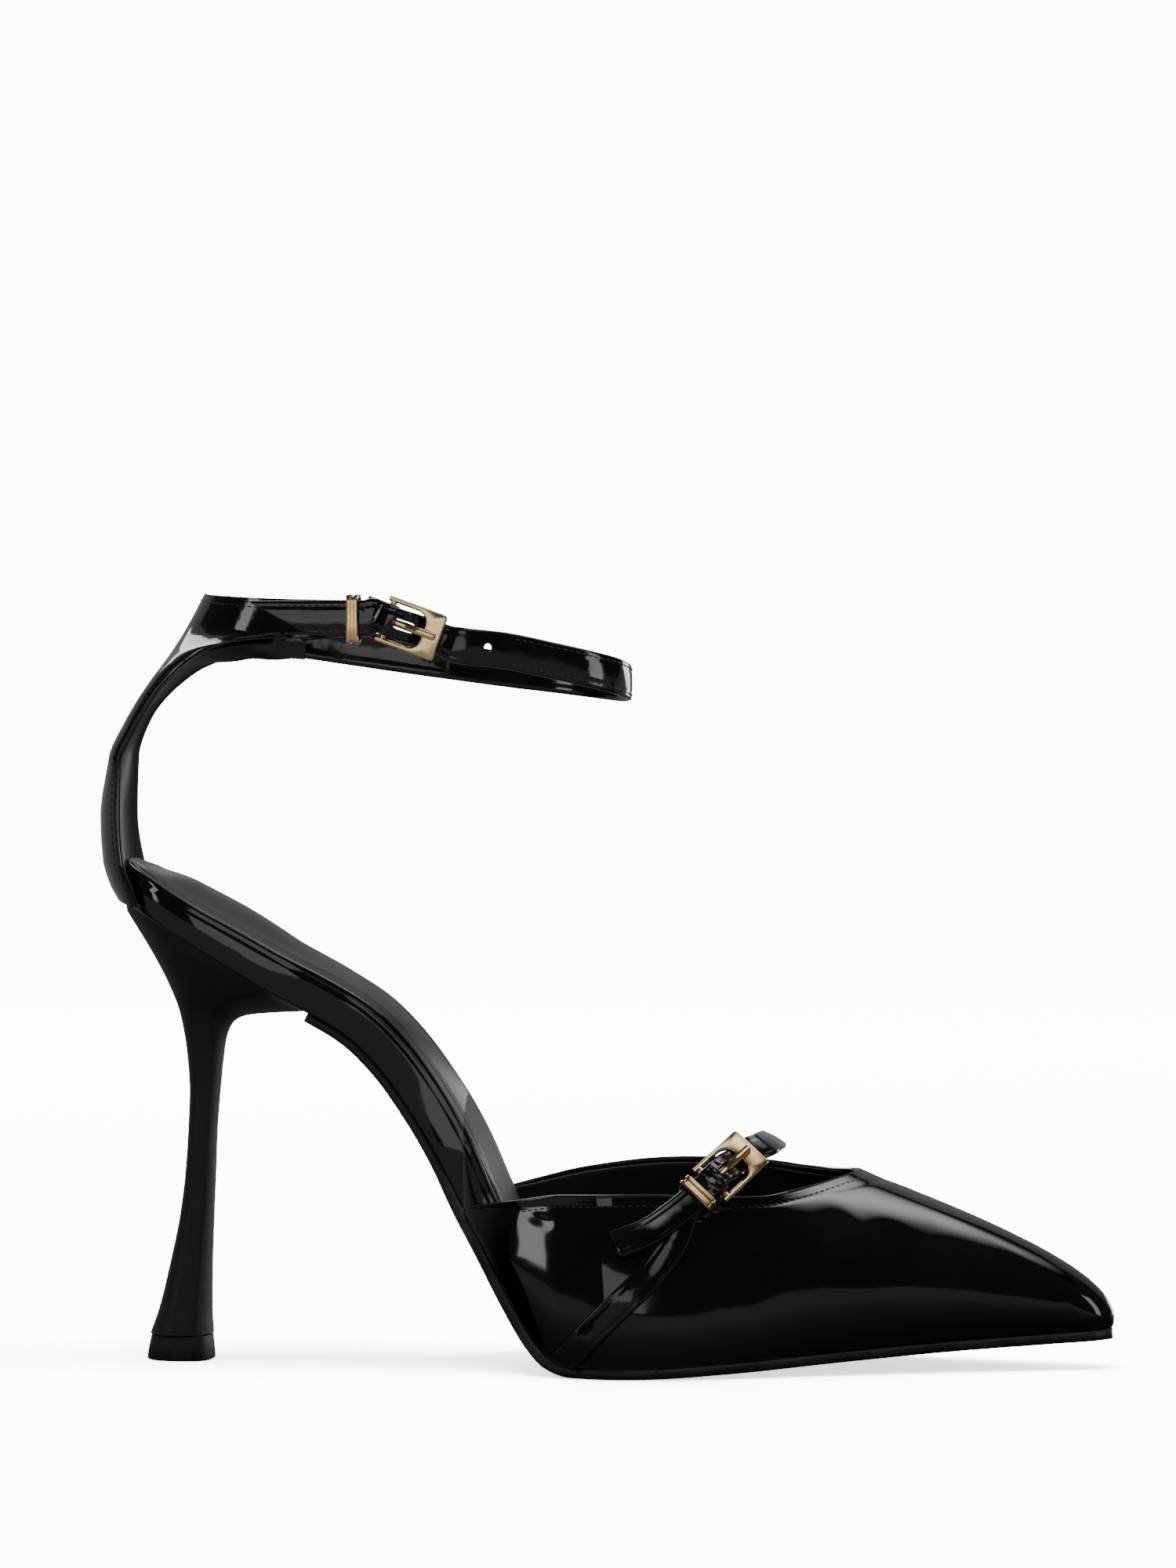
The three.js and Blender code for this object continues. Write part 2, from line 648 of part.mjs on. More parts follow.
function vampSurface(u, v) {
  const station = 2 * u;
  const side = station < 1 ? -1 : 1;
  const local = station < 1 ? station : 2 - station;
  const foot = vampFoot(station);
  const top = vampTop(station);
  const rise = top.z - foot.z;
  const soft = min(1, max(0, rise) / 20);
  const toe = pow(max(0, sin((PI * station) / 2)), 3);
  const out = V(toe, side * sqrt(1 - toe * toe), 0);
  const swell = mix(2.6, 3.7, toe) * soft;
  const [forward, sideways, down] = toplineLead(max(0, local));
  const lower = foot.clone().addScaledVector(out, swell).add(V(0, 0, rise * mix(0.36, 0.31, toe)));
  const upper = top.clone().add(V(forward * soft, side * sideways * soft, -down * rise));
  return bezier(foot, lower, upper, top, v);
}

const LINING_DEPTH = UPPER_THICKNESS + FIT + 0.2;

function inToeZone(u, v) {
  const along = ramp(u, 0.22, 0.28) * (1 - ramp(u, 0.72, 0.78));
  return along * (1 - ramp(v, 0.54, 0.66));
}

const liningNear = (u, v) => LINING_DEPTH + (TOE_PUFF_THICKNESS + FIT + 0.1) * inToeZone(u, v);

// Rows of the vamp's sheets stand closer together at its ends, where the sole bends.
const spread = (u) => u - (0.6 * sin(2 * PI * u)) / (2 * PI);
const alongVamp = (u, v) => vampSurface(spread(u), v);
const liningDepth = (u, v) => liningNear(spread(u), v);

const vampOuter = () => sheet(alongVamp, 44, 6, 0, UPPER_THICKNESS);
const vampLining = () =>
  sheet(alongVamp, 42, 5, liningDepth, (u, v) => liningDepth(u, v) + LINING_THICKNESS,
    [1 / 44, 43 / 44], [0.05, 0.98]);
const toePuff = () =>
  sheet(alongVamp, 12, 2, LINING_DEPTH, LINING_DEPTH + TOE_PUFF_THICKNESS,
    [16 / 44, 28 / 44], [1 / 6, 1 / 2]);

// ---------- straps ----------
// stations: [x, y, z, normal x, normal y, normal z, width], the middle of the strap's thickness.
function ribbonSurface(stations) {
  let length = 0;
  const rows = stations.map((station, i) => {
    if (i) length += hypot(...[0, 1, 2].map((k) => station[k] - stations[i - 1][k]));
    return [length, ...station];
  });
  const at = track(rows.map(([t, ...rest]) => [t / length, ...rest]));
  const middle = (u) => V(...at(u).slice(0, 3));
  return (u, v) => {
    const t = min(1, max(0, u));
    const [x, y, z, nx, ny, nz, width] = at(t);
    const ahead = middle(min(1, t + 1e-3)).sub(middle(max(0, t - 1e-3)));
    const across = V(nx, ny, nz).cross(ahead).normalize();
    return V(x, y, z).addScaledVector(across, (v - 0.5) * width).addScaledVector(ahead.normalize(), u - t);
  };
}

const ribbon = (stations, steps, thickness = STRAP_THICKNESS, across = 1) =>
  sheet(ribbonSurface(stations), steps, across, -thickness / 2, thickness / 2);

// A buckle's own frame: X from its bar to its front, Z away from the foot.
function buckleFrame(origin, forward, outward) {
  const x = forward.clone().normalize();
  const y = outward.clone().cross(x).normalize();
  const z = x.clone().cross(y);
  return new THREE.Matrix4().makeBasis(x, y, z).setPosition(origin);
}

const ANKLE_BAR = V(48.3, -25.4, 169.5);
const ankleBuckle = buckleFrame(ANKLE_BAR, V(0.94, 0, -0.342), V(0, -1, 0));
const ankleKeeperFrame = buckleFrame(V(40.6, -25.3, 169.6), V(1, 0, 0), V(0, -1, 0));
const INSTEP_BAR = V(122.1, -30.9, 43.9);
const instepBuckle = buckleFrame(INSTEP_BAR, V(0.66, 0.43, 0.61), V(0.153, -0.877, 0.453));

const LOOP_THICKNESS = 0.65;
const LOOP_INNER = BAR_RADIUS + FIT;
const LOOP_OUTER = LOOP_INNER + LOOP_THICKNESS;
const STRAP_OVER_BAR = LOOP_OUTER + FIT + 0.15 + STRAP_THICKNESS / 2;
const STRAP_OVER_STRAP = STRAP_THICKNESS + FIT + 0.1;
const STRAP_UNDER_FRONT = -(BUCKLE_PLATE / 2 + FIT + STRAP_THICKNESS / 2 + 0.15);
const FRONT_START = BUCKLE_LENGTH - BUCKLE_FRONT;

function inFrame(frame, x, z, width) {
  const point = V(x, 0, z).applyMatrix4(frame);
  const normal = V(0, 0, 1).transformDirection(frame);
  return [point.x, point.y, point.z, normal.x, normal.y, normal.z, width];
}

// The strap's way in under the front of a buckle, up through it and over its bar.
function throughBuckle(frame, width) {
  const narrow = min(width, STRAP_IN_BUCKLE_WIDTH);
  return [
    [BUCKLE_LENGTH + 4, STRAP_UNDER_FRONT + 0.5, width],
    [BUCKLE_LENGTH + 0.4, STRAP_UNDER_FRONT, narrow],
    [FRONT_START, STRAP_UNDER_FRONT - 0.1, narrow],
    [FRONT_START - 1.6, STRAP_UNDER_FRONT + 0.75, narrow],
    [3.9, 1, narrow],
    [1.8, STRAP_OVER_BAR - 0.35, narrow],
    [0, STRAP_OVER_BAR + 0.05, narrow],
    [-1.8, STRAP_OVER_BAR - 0.4, narrow],
    [-3, STRAP_OVER_STRAP + 0.2, mix(narrow, width, 0.5)],
  ].map(([x, z, w]) => inFrame(frame, x, z, w));
}

const outward = (x, y, z, nx, ny, width = ANKLE_STRAP_WIDTH) => [x, y, z, nx, ny, 0, width];

const ankleStrapStations = () => [
  outward(15, 24.1, 165.6, -0.12, 0.99),
  outward(24, 25.2, 164.2, -0.1, 0.99),
  outward(40, 26.8, 161.8, 0, 1),
  outward(56, 25.6, 159.6, 0.15, 0.99),
  outward(72, 22, 157.6, 0.3, 0.95),
  outward(84, 17.5, 156.3, 0.45, 0.9),
  outward(93, 11.5, 155.3, 0.7, 0.7),
  outward(98.5, 5, 154.8, 0.93, 0.35),
  outward(100.6, -1.5, 155.2, 1, 0),
  outward(98.8, -8, 156.5, 0.85, -0.5),
  outward(93, -14, 158.3, 0.6, -0.8),
  outward(84, -18.8, 160.5, 0.4, -0.92),
  outward(74, -22, 162.6, 0.25, -0.97),
  ...throughBuckle(ankleBuckle, ANKLE_STRAP_WIDTH),
  outward(43.2, ANKLE_BAR.y - STRAP_OVER_STRAP - 0.1, 169.8, 0, -1),
  outward(36, -27, 169.8, 0, -1),
  outward(24, -26.4, 169.9, -0.1, -0.99),
];

// The tip is cut at a slant, and the prong and a spare hole go through the strap.
function ankleStrap() {
  const slant = new THREE.BoxGeometry(20, 10, 30).rotateY(-0.98).translate(22, -27, 164.5);
  const strap = ribbon(ankleStrapStations(), 58);
  return cut(strap, ...prongSweep(ankleBuckle), spareHole(V(70.5, -22.6, 163.1)), slant);
}

function spareHole(at) {
  return new THREE.CylinderGeometry(0.9, 0.9, 8, 12).translate(at.x, at.y, at.z);
}

// The wide back strap: rows run from the middle of the back to the strap's edge.
// [height share, x, z] down the middle of the back.
const backMiddle = track([
  [-0.08, -17.1, 106.1],
  [0, -18.9, 109.2],
  [0.12, -20.5, 115],
  [0.3, -21, 124.5],
  [0.5, -18.2, 138.9],
  [0.7, -10.9, 151.5],
  [0.9, -2, 166],
  [1, 3.1, 175.4],
]);
// [share, x, y, z, lead x, lead y, swing of the middle], edges and how a row runs into them.
const backOuterEdge = track([
  [-0.08, -10.6, -17.2, 104.2, -3, 1.5, 8],
  [0, -12, -16.8, 107.8, -3, 2, 8],
  [0.12, -14.6, -15.6, 114.3, -3.2, 2.8, 7],
  [0.3, -15.4, -15.2, 125, -3, 3, 7],
  [0.5, -15, -15.5, 137, -3.5, 3, 7],
  [0.6, -11, -17, 145.5, -4, 3, 7.5],
  [0.68, -3.5, -19.5, 155.5, -6, 2.5, 9],
  [0.76, 5, -22, 161.6, -9, 1.5, 11],
  [0.82, 14, -23.6, 164.6, -13, 0.5, 12.5],
  [0.88, 25, -24.3, 165.4, -18, 0.2, 14],
  [0.94, 42.8, -25.3, 165.4, -29, 0.3, 15],
  [1, 42.8, -25.3, 173.8, -26, 0.4, 15],
]);
const backInnerEdge = track([
  [-0.08, -10.6, 17.2, 104.2, -3, -1.5, -8],
  [0, -12, 16.8, 107.8, -3, -2, -8],
  [0.12, -14.6, 15.6, 114.3, -3.2, -2.8, -7],
  [0.3, -16, 15.2, 125, -3, -3, -7],
  [0.5, -15.6, 15.5, 138, -3.5, -3, -7],
  [0.6, -12.6, 17, 147, -4, -3, -7.5],
  [0.68, -7, 19, 153.8, -5, -2.5, -9],
  [0.76, 1, 21, 158.8, -8, -1.5, -11],
  [0.82, 8, 22, 160.8, -10, -1, -12],
  [0.88, 14, 22.6, 160.9, -10, -0.6, -13],
  [0.94, 22.5, 23.4, 160.1, -13, -0.5, -14],
  [1, 22.5, 23.4, 168.5, -12, -0.5, -14],
]);

// u runs up the strap, v across it from the outer edge over the middle to the inner edge.
function backSurface(u, v) {
  const [x, z] = backMiddle(u);
  const middle = V(x, 0, z);
  const [ex, ey, ez, leadX, leadY, swing] = (v < 0.5 ? backOuterEdge : backInnerEdge)(u);
  const edge = V(ex, ey, ez);
  const share = abs(v - 0.5) * 2;
  const leaving = middle.clone().add(V(0, -swing, (ez - z) * 0.12));
  const arriving = edge.clone().add(V(leadX, leadY, (z - ez) * 0.2));
  return bezier(middle, leaving, arriving, edge, share);
}

const BACK_LAYER = 0.8;
const BACK_ROOT_GAP = 0.045; // share of the strap's height between its root and the moving part

const backStrap = () => sheet(backSurface, 18, 14, 0, BACK_LAYER);
const backLining = () =>
  sheet(backSurface, 18, 14, BACK_LAYER + FIT, BACK_LAYER + FIT + 0.5, [0.02, 0.99], [0.02, 0.98]);
const backRoot = () => sheet(backSurface, 2, 12, 0, BACK_LAYER, [-0.08, -BACK_ROOT_GAP]);

// Straps that lie on the vamp: a point over it, by station and height share.
function onVamp(u, v, lift, width) {
  const step = 1e-3;
  const point = vampSurface(u, v);
  const du = vampSurface(u + step, v).sub(vampSurface(u - step, v));
  const dv = vampSurface(u, v + step).sub(vampSurface(u, v - step));
  const normal = du.cross(dv).normalize();
  point.addScaledVector(normal, lift);
  return [point.x, point.y, point.z, normal.x, normal.y, normal.z, width];
}

const OVER_VAMP = STRAP_THICKNESS / 2 + FIT + 0.25;

const instepTab = () =>
  ribbon([
    onVamp(0.054, 0.04, OVER_VAMP, INSTEP_STRAP_WIDTH),
    onVamp(0.066, 0.18, OVER_VAMP, INSTEP_STRAP_WIDTH),
    onVamp(0.082, 0.36, OVER_VAMP, INSTEP_STRAP_WIDTH),
    onVamp(0.1, 0.54, OVER_VAMP, INSTEP_STRAP_WIDTH),
    onVamp(0.115, 0.72, OVER_VAMP + 0.8, INSTEP_STRAP_WIDTH),
    inFrame(instepBuckle, -8, 0, INSTEP_STRAP_WIDTH),
    inFrame(instepBuckle, -5.2, 0, INSTEP_STRAP_WIDTH),
    inFrame(instepBuckle, -2.6, 0, INSTEP_STRAP_WIDTH),
  ], 24);

const instepStrap = () =>
  cut(ribbon([
    onVamp(0.946, 0.04, OVER_VAMP, INSTEP_STRAP_WIDTH),
    onVamp(0.934, 0.2, OVER_VAMP, INSTEP_STRAP_WIDTH),
    onVamp(0.915, 0.42, OVER_VAMP, INSTEP_STRAP_WIDTH),
    onVamp(0.893, 0.66, OVER_VAMP, INSTEP_STRAP_WIDTH),
    onVamp(0.868, 0.9, OVER_VAMP + 0.2, INSTEP_STRAP_WIDTH),
    [127.6, 26.4, 47.4, 0.2, 0.62, 0.75, INSTEP_STRAP_WIDTH],
    [130.4, 17, 50.2, 0.2, 0.25, 0.94, INSTEP_STRAP_WIDTH],
    [132.6, 4, 52, 0.2, 0, 0.98, INSTEP_STRAP_WIDTH],
    [133.6, -8, 52.8, 0.2, -0.3, 0.93, INSTEP_STRAP_WIDTH],
    [133.4, -17, 52.4, 0.2, -0.7, 0.7, INSTEP_STRAP_WIDTH],
    ...throughBuckle(instepBuckle, INSTEP_STRAP_WIDTH),
    inFrame(instepBuckle, -5.6, STRAP_OVER_STRAP, INSTEP_STRAP_WIDTH),
    [113, -37.7, 36.7, 0, -0.95, 0.32, INSTEP_STRAP_WIDTH],
    [107.5, -40.2, 33.2, -0.05, -0.95, 0.3, INSTEP_STRAP_WIDTH],
    [101.5, -41.4, 31, -0.05, -0.97, 0.24, INSTEP_STRAP_WIDTH],
  ], 54), ...prongSweep(instepBuckle));

// ---------- buckles ----------
const windowHalf = BUCKLE_WIDTH / 2 - BUCKLE_LEG;

function buckle(frame) {
  const half = BUCKLE_WIDTH / 2;
  const legEnd = -BAR_RADIUS - 0.5;
  const round = 2.6;
  const outline = new THREE.Shape();
  outline.moveTo(legEnd, -half);
  outline.lineTo(BUCKLE_LENGTH, -half);
  outline.lineTo(BUCKLE_LENGTH, half);
  outline.lineTo(legEnd, half);
  outline.lineTo(legEnd, windowHalf);
  outline.lineTo(FRONT_START - round, windowHalf);
  outline.absarc(FRONT_START - round, windowHalf - round, round, PI / 2, 0, true);
  outline.absarc(FRONT_START - round, -windowHalf + round, round, 0, -PI / 2, true);
  outline.lineTo(legEnd, -windowHalf);
  const bevel = 0.25;
  const options = { depth: BUCKLE_PLATE - 2 * bevel, bevelSize: bevel, bevelThickness: bevel,
    bevelOffset: -bevel, bevelSegments: 1, curveSegments: 4 };
  const plate = new THREE.ExtrudeGeometry(outline, options).translate(0, 0, bevel - BUCKLE_PLATE / 2);
  const bar = new THREE.CylinderGeometry(BAR_RADIUS, BAR_RADIUS, 2 * windowHalf + 0.6, 12);
  return join(plate, bar).applyMatrix4(frame);
}

// A shape drawn in a buckle's X-Z plane and made wide across it.
function acrossBuckle(shape, width, curveSegments = 6) {
  const geometry = new THREE.ExtrudeGeometry(shape, { depth: width, bevelEnabled: false, curveSegments });
  return geometry.rotateX(PI / 2).translate(0, width / 2, 0);
}

function ring(inner, outer) {
  const shape = new THREE.Shape().absarc(0, 0, outer, 0, 2 * PI, false);
  shape.holes.push(new THREE.Path().absarc(0, 0, inner, 0, 2 * PI, true));
  return shape;
}

const PRONG_INNER = BAR_RADIUS + 0.2;

function prong(frame, grow = 0) {
  const low = BUCKLE_PLATE / 2 + FIT - grow;
  const high = low + PRONG_THICKNESS + 2 * grow;
  const tip = BUCKLE_LENGTH - 1.3 + grow;
  const body = new THREE.Shape();
  body.moveTo(1.15, -0.5 - grow);
  body.lineTo(4, 0.1 - grow);
  body.lineTo(FRONT_START - 0.6, low);
  body.lineTo(tip - 0.4, low);
  body.lineTo(tip, mix(low, high, 0.5));
  body.lineTo(tip - 0.4, high);
  body.lineTo(FRONT_START - 0.6, high);
  body.lineTo(4, 1.4 + grow);
  body.lineTo(0.9, 1.15 + grow);
  const width = PRONG_WIDTH + 2 * grow;
  const eye = acrossBuckle(ring(PRONG_INNER, PRONG_INNER + 0.6), width);
  return join(eye, acrossBuckle(body, width)).applyMatrix4(frame);
}

// The room that a prong needs through its strap while it and its buckle tilt about the bar.
function prongSweep(frame) {
  return [0, 0.25, 0.5, 0.75, 1].map((share) => {
    const tilt = new THREE.Matrix4().makeRotationY(-share * PRONG_PLAY);
    return prong(frame.clone().multiply(tilt), FIT);
  });
}

// The leather that wraps a buckle's bar, with a slot for the prong.
function barLoop(frame, tail, width) {
  const eye = acrossBuckle(ring(LOOP_INNER, LOOP_OUTER), width);
  const flap = new THREE.BoxGeometry(tail, width, LOOP_THICKNESS);
  flap.translate(-tail / 2, 0, -LOOP_OUTER + LOOP_THICKNESS / 2);
  const slot = new THREE.BoxGeometry(2 * LOOP_OUTER + 1, PRONG_WIDTH + 2 * FIT, 2 * LOOP_OUTER + 1);
  slot.translate(0.3, 0, 0);
  return cut(join(eye, flap), slot).applyMatrix4(frame);
}

function keeper(frame, strapWidth, x = 0) {
  const half = strapWidth / 2 + 2 * FIT;
  const low = -LOOP_OUTER - FIT;
  const high = STRAP_OVER_STRAP + STRAP_THICKNESS / 2 + FIT + 0.25;
  const height = high - low;
  const width = 2 * (half + KEEPER_WALL);
  const outer = new THREE.BoxGeometry(KEEPER_LENGTH, width, height + 2 * KEEPER_WALL);
  const inner = new THREE.BoxGeometry(KEEPER_LENGTH + 2, 2 * half, height);
  return cut(outer, inner).translate(x, 0, (high + low) / 2).applyMatrix4(frame);
}

// ---------- materials ----------
const paint = (color, roughness, metalness = 0) =>
  new THREE.MeshStandardMaterial({ color, roughness, metalness });
const patentLeather = () => paint(0x060606, 0.08);
const liningLeather = () => paint(0x26272a, 0.5);
const coveredHeel = () => paint(0x0b0b0c, 0.3);
const soleRubber = () => paint(0x121212, 0.6);
const fibreBoard = () => paint(0x8c7a5f, 0.9);
const foam = () => paint(0xd8d2c4, 0.95);
const steel = () => paint(0x9da1a6, 0.35, 1);
const gold = () => paint(0xd9b080, 0.18, 1);
const puffCloth = () => paint(0xb9b4a6, 0.9);

// ---------- assembly ----------
const shoe = new THREE.Group();
shoe.position.x = -TIP_CENTRE_X; // the origin is the middle of the heel's flat tip

function add(name, geometry, material) {
  const mesh = new THREE.Mesh(geometry, material);
  mesh.name = name;
  shoe.add(mesh);
}

add("outsole", outsole(), soleRubber());
add("insole_board", insoleBoard(), fibreBoard());
add("steel_shank", steelShank(), steel());
add("shank_rivet", rivet(), steel());
add("footbed_filler", footbedFiller(), foam());
add("heel_cushion", heelPad(), foam());
add("sock_lining", sockLining(), liningLeather());
add("insole_rand", rand(), patentLeather());
add("heel_block", heelBlock(), coveredHeel());
add("heel_reinforcing_tube", reinforcingTube(), steel());
add("top_piece", topPiece(), soleRubber());
add("top_piece_dowel", dowel(), steel());
add("heel_screw", screw(), steel());
HEEL_NAILS.forEach((place, i) => add("heel_nail_" + (i + 1), nail(place), steel()));

add("vamp_outer", vampOuter(), patentLeather());
add("vamp_lining", vampLining(), liningLeather());
add("toe_puff", toePuff(), puffCloth());

add("back_strap_root", backRoot(), patentLeather());
add("back_strap", backStrap(), patentLeather());
add("back_strap_lining", backLining(), liningLeather());
add("ankle_strap", ankleStrap(), patentLeather());
add("ankle_bar_loop", barLoop(ankleBuckle, 6, STRAP_IN_BUCKLE_WIDTH), patentLeather());
add("ankle_buckle_frame", buckle(ankleBuckle), gold());
add("ankle_buckle_prong", prong(ankleBuckle), gold());
add("ankle_keeper", keeper(ankleKeeperFrame, ANKLE_STRAP_WIDTH), gold());

add("instep_buckle_tab", instepTab(), patentLeather());
add("instep_strap", instepStrap(), patentLeather());
add("instep_bar_loop", barLoop(instepBuckle, 5, INSTEP_STRAP_WIDTH), patentLeather());
add("instep_buckle_frame", buckle(instepBuckle), gold());
add("instep_buckle_prong", prong(instepBuckle), gold());
add("instep_keeper", keeper(instepBuckle, INSTEP_STRAP_WIDTH, -5.2), gold());

const pump = new THREE.Group();
pump.add(shoe);
export default pump;
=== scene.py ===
"""High heel pump: patent pointed vamp, covered stiletto heel, buckled ankle and instep straps."""

from math import cos, pi, radians, sin
import bmesh
import bpy
import numpy as np
from bpy.props import FloatProperty, FloatVectorProperty, IntProperty, PointerProperty
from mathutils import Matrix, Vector


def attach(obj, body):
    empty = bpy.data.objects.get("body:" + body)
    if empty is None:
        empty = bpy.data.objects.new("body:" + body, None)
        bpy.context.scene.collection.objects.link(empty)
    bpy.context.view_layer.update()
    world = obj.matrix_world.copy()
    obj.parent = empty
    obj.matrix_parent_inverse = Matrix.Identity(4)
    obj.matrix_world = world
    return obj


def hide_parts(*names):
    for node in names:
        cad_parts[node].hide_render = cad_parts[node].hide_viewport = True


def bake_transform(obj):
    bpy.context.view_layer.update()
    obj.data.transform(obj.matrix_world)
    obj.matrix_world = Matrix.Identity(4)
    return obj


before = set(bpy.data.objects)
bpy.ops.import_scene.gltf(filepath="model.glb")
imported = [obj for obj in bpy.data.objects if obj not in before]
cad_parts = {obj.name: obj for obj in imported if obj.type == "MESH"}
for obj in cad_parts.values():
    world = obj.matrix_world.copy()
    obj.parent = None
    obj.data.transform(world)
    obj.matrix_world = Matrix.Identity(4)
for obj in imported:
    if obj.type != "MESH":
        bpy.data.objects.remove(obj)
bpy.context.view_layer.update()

bl_info = {
    "name": "High heel pump",
    "version": (1, 0, 0),
    "blender": (4, 5, 0),
    "location": "View3D > Sidebar > Pump",
    "description": "Builds a patent pump with ankle and instep straps around its packed frame",
    "category": "Add Mesh",
}

# ---------- sizes shared with the frame, in millimetres along the last ----------
LAST_SHIFT = 2.85  # the heel tip's middle lies this far behind the last's own origin
VAMP_BACK = 65.0
TOE_TIP = 210.5
TOE_ROUND = 202.0
SEAT_BACK = -15.4
SEAT_ROUND = 6.0
BREAST = 29.5
OUTSOLE_THICKNESS = 2.4
FIT = 0.3
RAND_HEIGHT = 8.0
RAND_THICKNESS = 1.2
RAND_FRONT = 84.0
SOCK_THICKNESS = 0.8
FOREPART_PADDING = 1.0
INSOLE_THICKNESS = 1.8
HEEL_PAD = 2.2
FOOTBED_CROWN = 1.4
UPPER_THICKNESS = 1.1
UPPER_FLOOR_INSET = 4.3
LINING_THICKNESS = 0.6
TOP_PIECE_HEIGHT = 5.6
TIP_BACK = -10.6
TIP_FRONT = 4.9
TIP_HALF = 8.6
NECK_HALF = 4.65
STRAP_THICKNESS = 1.4
ANKLE_WIDTH = 8.4
INSTEP_WIDTH = 6.6
IN_BUCKLE_WIDTH = 7.2
BAR_RADIUS = 0.75
BUCKLE_WIDTH = 10.8
BUCKLE_LEG = 1.2
BUCKLE_FRONT = 4.2
BUCKLE_LENGTH = 12.6
BUCKLE_PLATE = 1.4
PRONG_WIDTH = 1.8
PRONG_THICKNESS = 1.2
KEEPER_LENGTH = 2.8
KEEPER_WALL = 0.8
LOOP_THICKNESS = 0.65
LOOP_INNER = BAR_RADIUS + FIT
LOOP_OUTER = LOOP_INNER + LOOP_THICKNESS
OVER_BAR = LOOP_OUTER + FIT + 0.15 + STRAP_THICKNESS / 2
OVER_STRAP = STRAP_THICKNESS + FIT + 0.1
UNDER_FRONT = -(BUCKLE_PLATE / 2 + FIT + STRAP_THICKNESS / 2 + 0.15)
FRONT_START = BUCKLE_LENGTH - BUCKLE_FRONT
OVER_VAMP = STRAP_THICKNESS / 2 + FIT + 0.25
WINDOW_HALF = BUCKLE_WIDTH / 2 - BUCKLE_LEG


# ---------- curves ----------
def mix(a, b, t):
    return a + (b - a) * t


def ramp(x, low, high):
    t = np.clip((np.asarray(x, float) - low) / (high - low), 0, 1)
    return t * t * (3 - 2 * t)


def track(rows):
    """A curve through rows of [t, a, b, ...] that keeps each column from overshooting."""
    rows = np.array(rows, float)
    t, values = rows[:, 0], rows[:, 1:]
    gaps = np.diff(t)[:, None]
    steps = np.diff(values, axis=0) / gaps
    slopes = np.zeros_like(values)
    slopes[0], slopes[-1] = steps[0], steps[-1]
    if len(rows) > 2:
        before = 2 * gaps[1:] + gaps[:-1]
        after = gaps[1:] + 2 * gaps[:-1]
        same = steps[:-1] * steps[1:] > 0
        low = np.where(same, steps[:-1], 1)
        high = np.where(same, steps[1:], 1)
        slopes[1:-1] = np.where(same, (before + after) / (before / low + after / high), 0)

    def at(where):
        where = np.asarray(where, float)
        i = np.clip(np.searchsorted(t, where, side="left") - 1, 0, len(t) - 2)
        h = gaps[i, 0]
        s = np.clip((where - t[i]) / h, 0, 1)[..., None]
        h = h[..., None]
        rise = values[i + 1] - values[i]
        start, end = slopes[i] * h, slopes[i + 1] * h
        return values[i] + s * (start + s * (3 * rise - 2 * start - end + s * (start + end - 2 * rise)))

    return at


def bezier(a, b, c, d, t):
    t = np.asarray(t, float)[..., None]
    r = 1 - t
    return a * r**3 + b * 3 * r * r * t + c * 3 * r * t * t + d * t**3


def vec(*parts):
    return np.stack(np.broadcast_arrays(*[np.asarray(p, float) for p in parts]), axis=-1)


def unit(v):
    return v / np.maximum(np.linalg.norm(v, axis=-1, keepdims=True), 1e-12)


# ---------- the last: feather line and sole ----------
feather_profile = track([
    [SEAT_BACK - 2, 107.2], [-8, 102.4], [7.2, 93.6], [21, 85.6], [31, 80.2], [38.4, 75.5],
    [45.6, 68.4], [52.2, 59.4], [59.4, 47.6], [64.5, 37.2], [70.5, 26.6], [76.9, 15.2],
    [82, 7.6], [86, 3.9], [90.5, OUTSOLE_THICKNESS + FIT], [102, OUTSOLE_THICKNESS + FIT],
    [125, OUTSOLE_THICKNESS + 1.3], [150, OUTSOLE_THICKNESS + 3.2],
    [175, OUTSOLE_THICKNESS + 5], [TOE_TIP, OUTSOLE_THICKNESS + 7],
])
outer_width = track([
    [SEAT_BACK, 20], [SEAT_ROUND, 20.6], [20, 21.6], [36, 19.6], [50, 18.6], [62, 20.6],
    [75, 26], [88, 33], [100, 37], [112, 36.2], [125, 32.4], [140, 26.4], [155, 20.6],
    [170, 15.4], [185, 11], [197, 7.8], [TOE_ROUND, 6.6], [TOE_TIP, 5.4],
])
inner_width = track([
    [SEAT_BACK, 20], [SEAT_ROUND, 20.6], [20, 20.8], [36, 17.8], [50, 16], [62, 17.4],
    [75, 22.4], [88, 29], [100, 34.6], [112, 37.2], [125, 35.4], [140, 29.8], [155, 23],
    [170, 16.8], [185, 11.4], [197, 7.8], [TOE_ROUND, 6.6], [TOE_TIP, 5.4],
])


def feather(x):
    return feather_profile(x)[..., 0]


def up_at(x):
    """The way up from the sole: plumb at the seat, square to the sole further on."""
    slope = (feather(np.asarray(x) + 0.6) - feather(np.asarray(x) - 0.6)) / 1.2
    return unit(vec(-slope * ramp(x, -6, 36), 0, 1))


def half_width(x, side, inset=0.0):
    x = np.asarray(x, float)
    base = np.where(np.asarray(side) < 0, outer_width(x)[..., 0], inner_width(x)[..., 0]) - inset
    toe = np.clip((x - TOE_ROUND) / (TOE_TIP - inset - TOE_ROUND), 0, 1)
    seat = np.clip((SEAT_ROUND - x) / (SEAT_ROUND - SEAT_BACK - inset), 0, 1)
    return base * np.sqrt(1 - toe * toe) * (1 - seat**2.4) ** (1 / 2.4)


def in_forepart(x):
    return ramp(x, 52, 96)


SEAT_PADDING = RAND_HEIGHT - SOCK_THICKNESS - 2 * FIT
FORE_PADDING = INSOLE_THICKNESS + FIT + FOREPART_PADDING


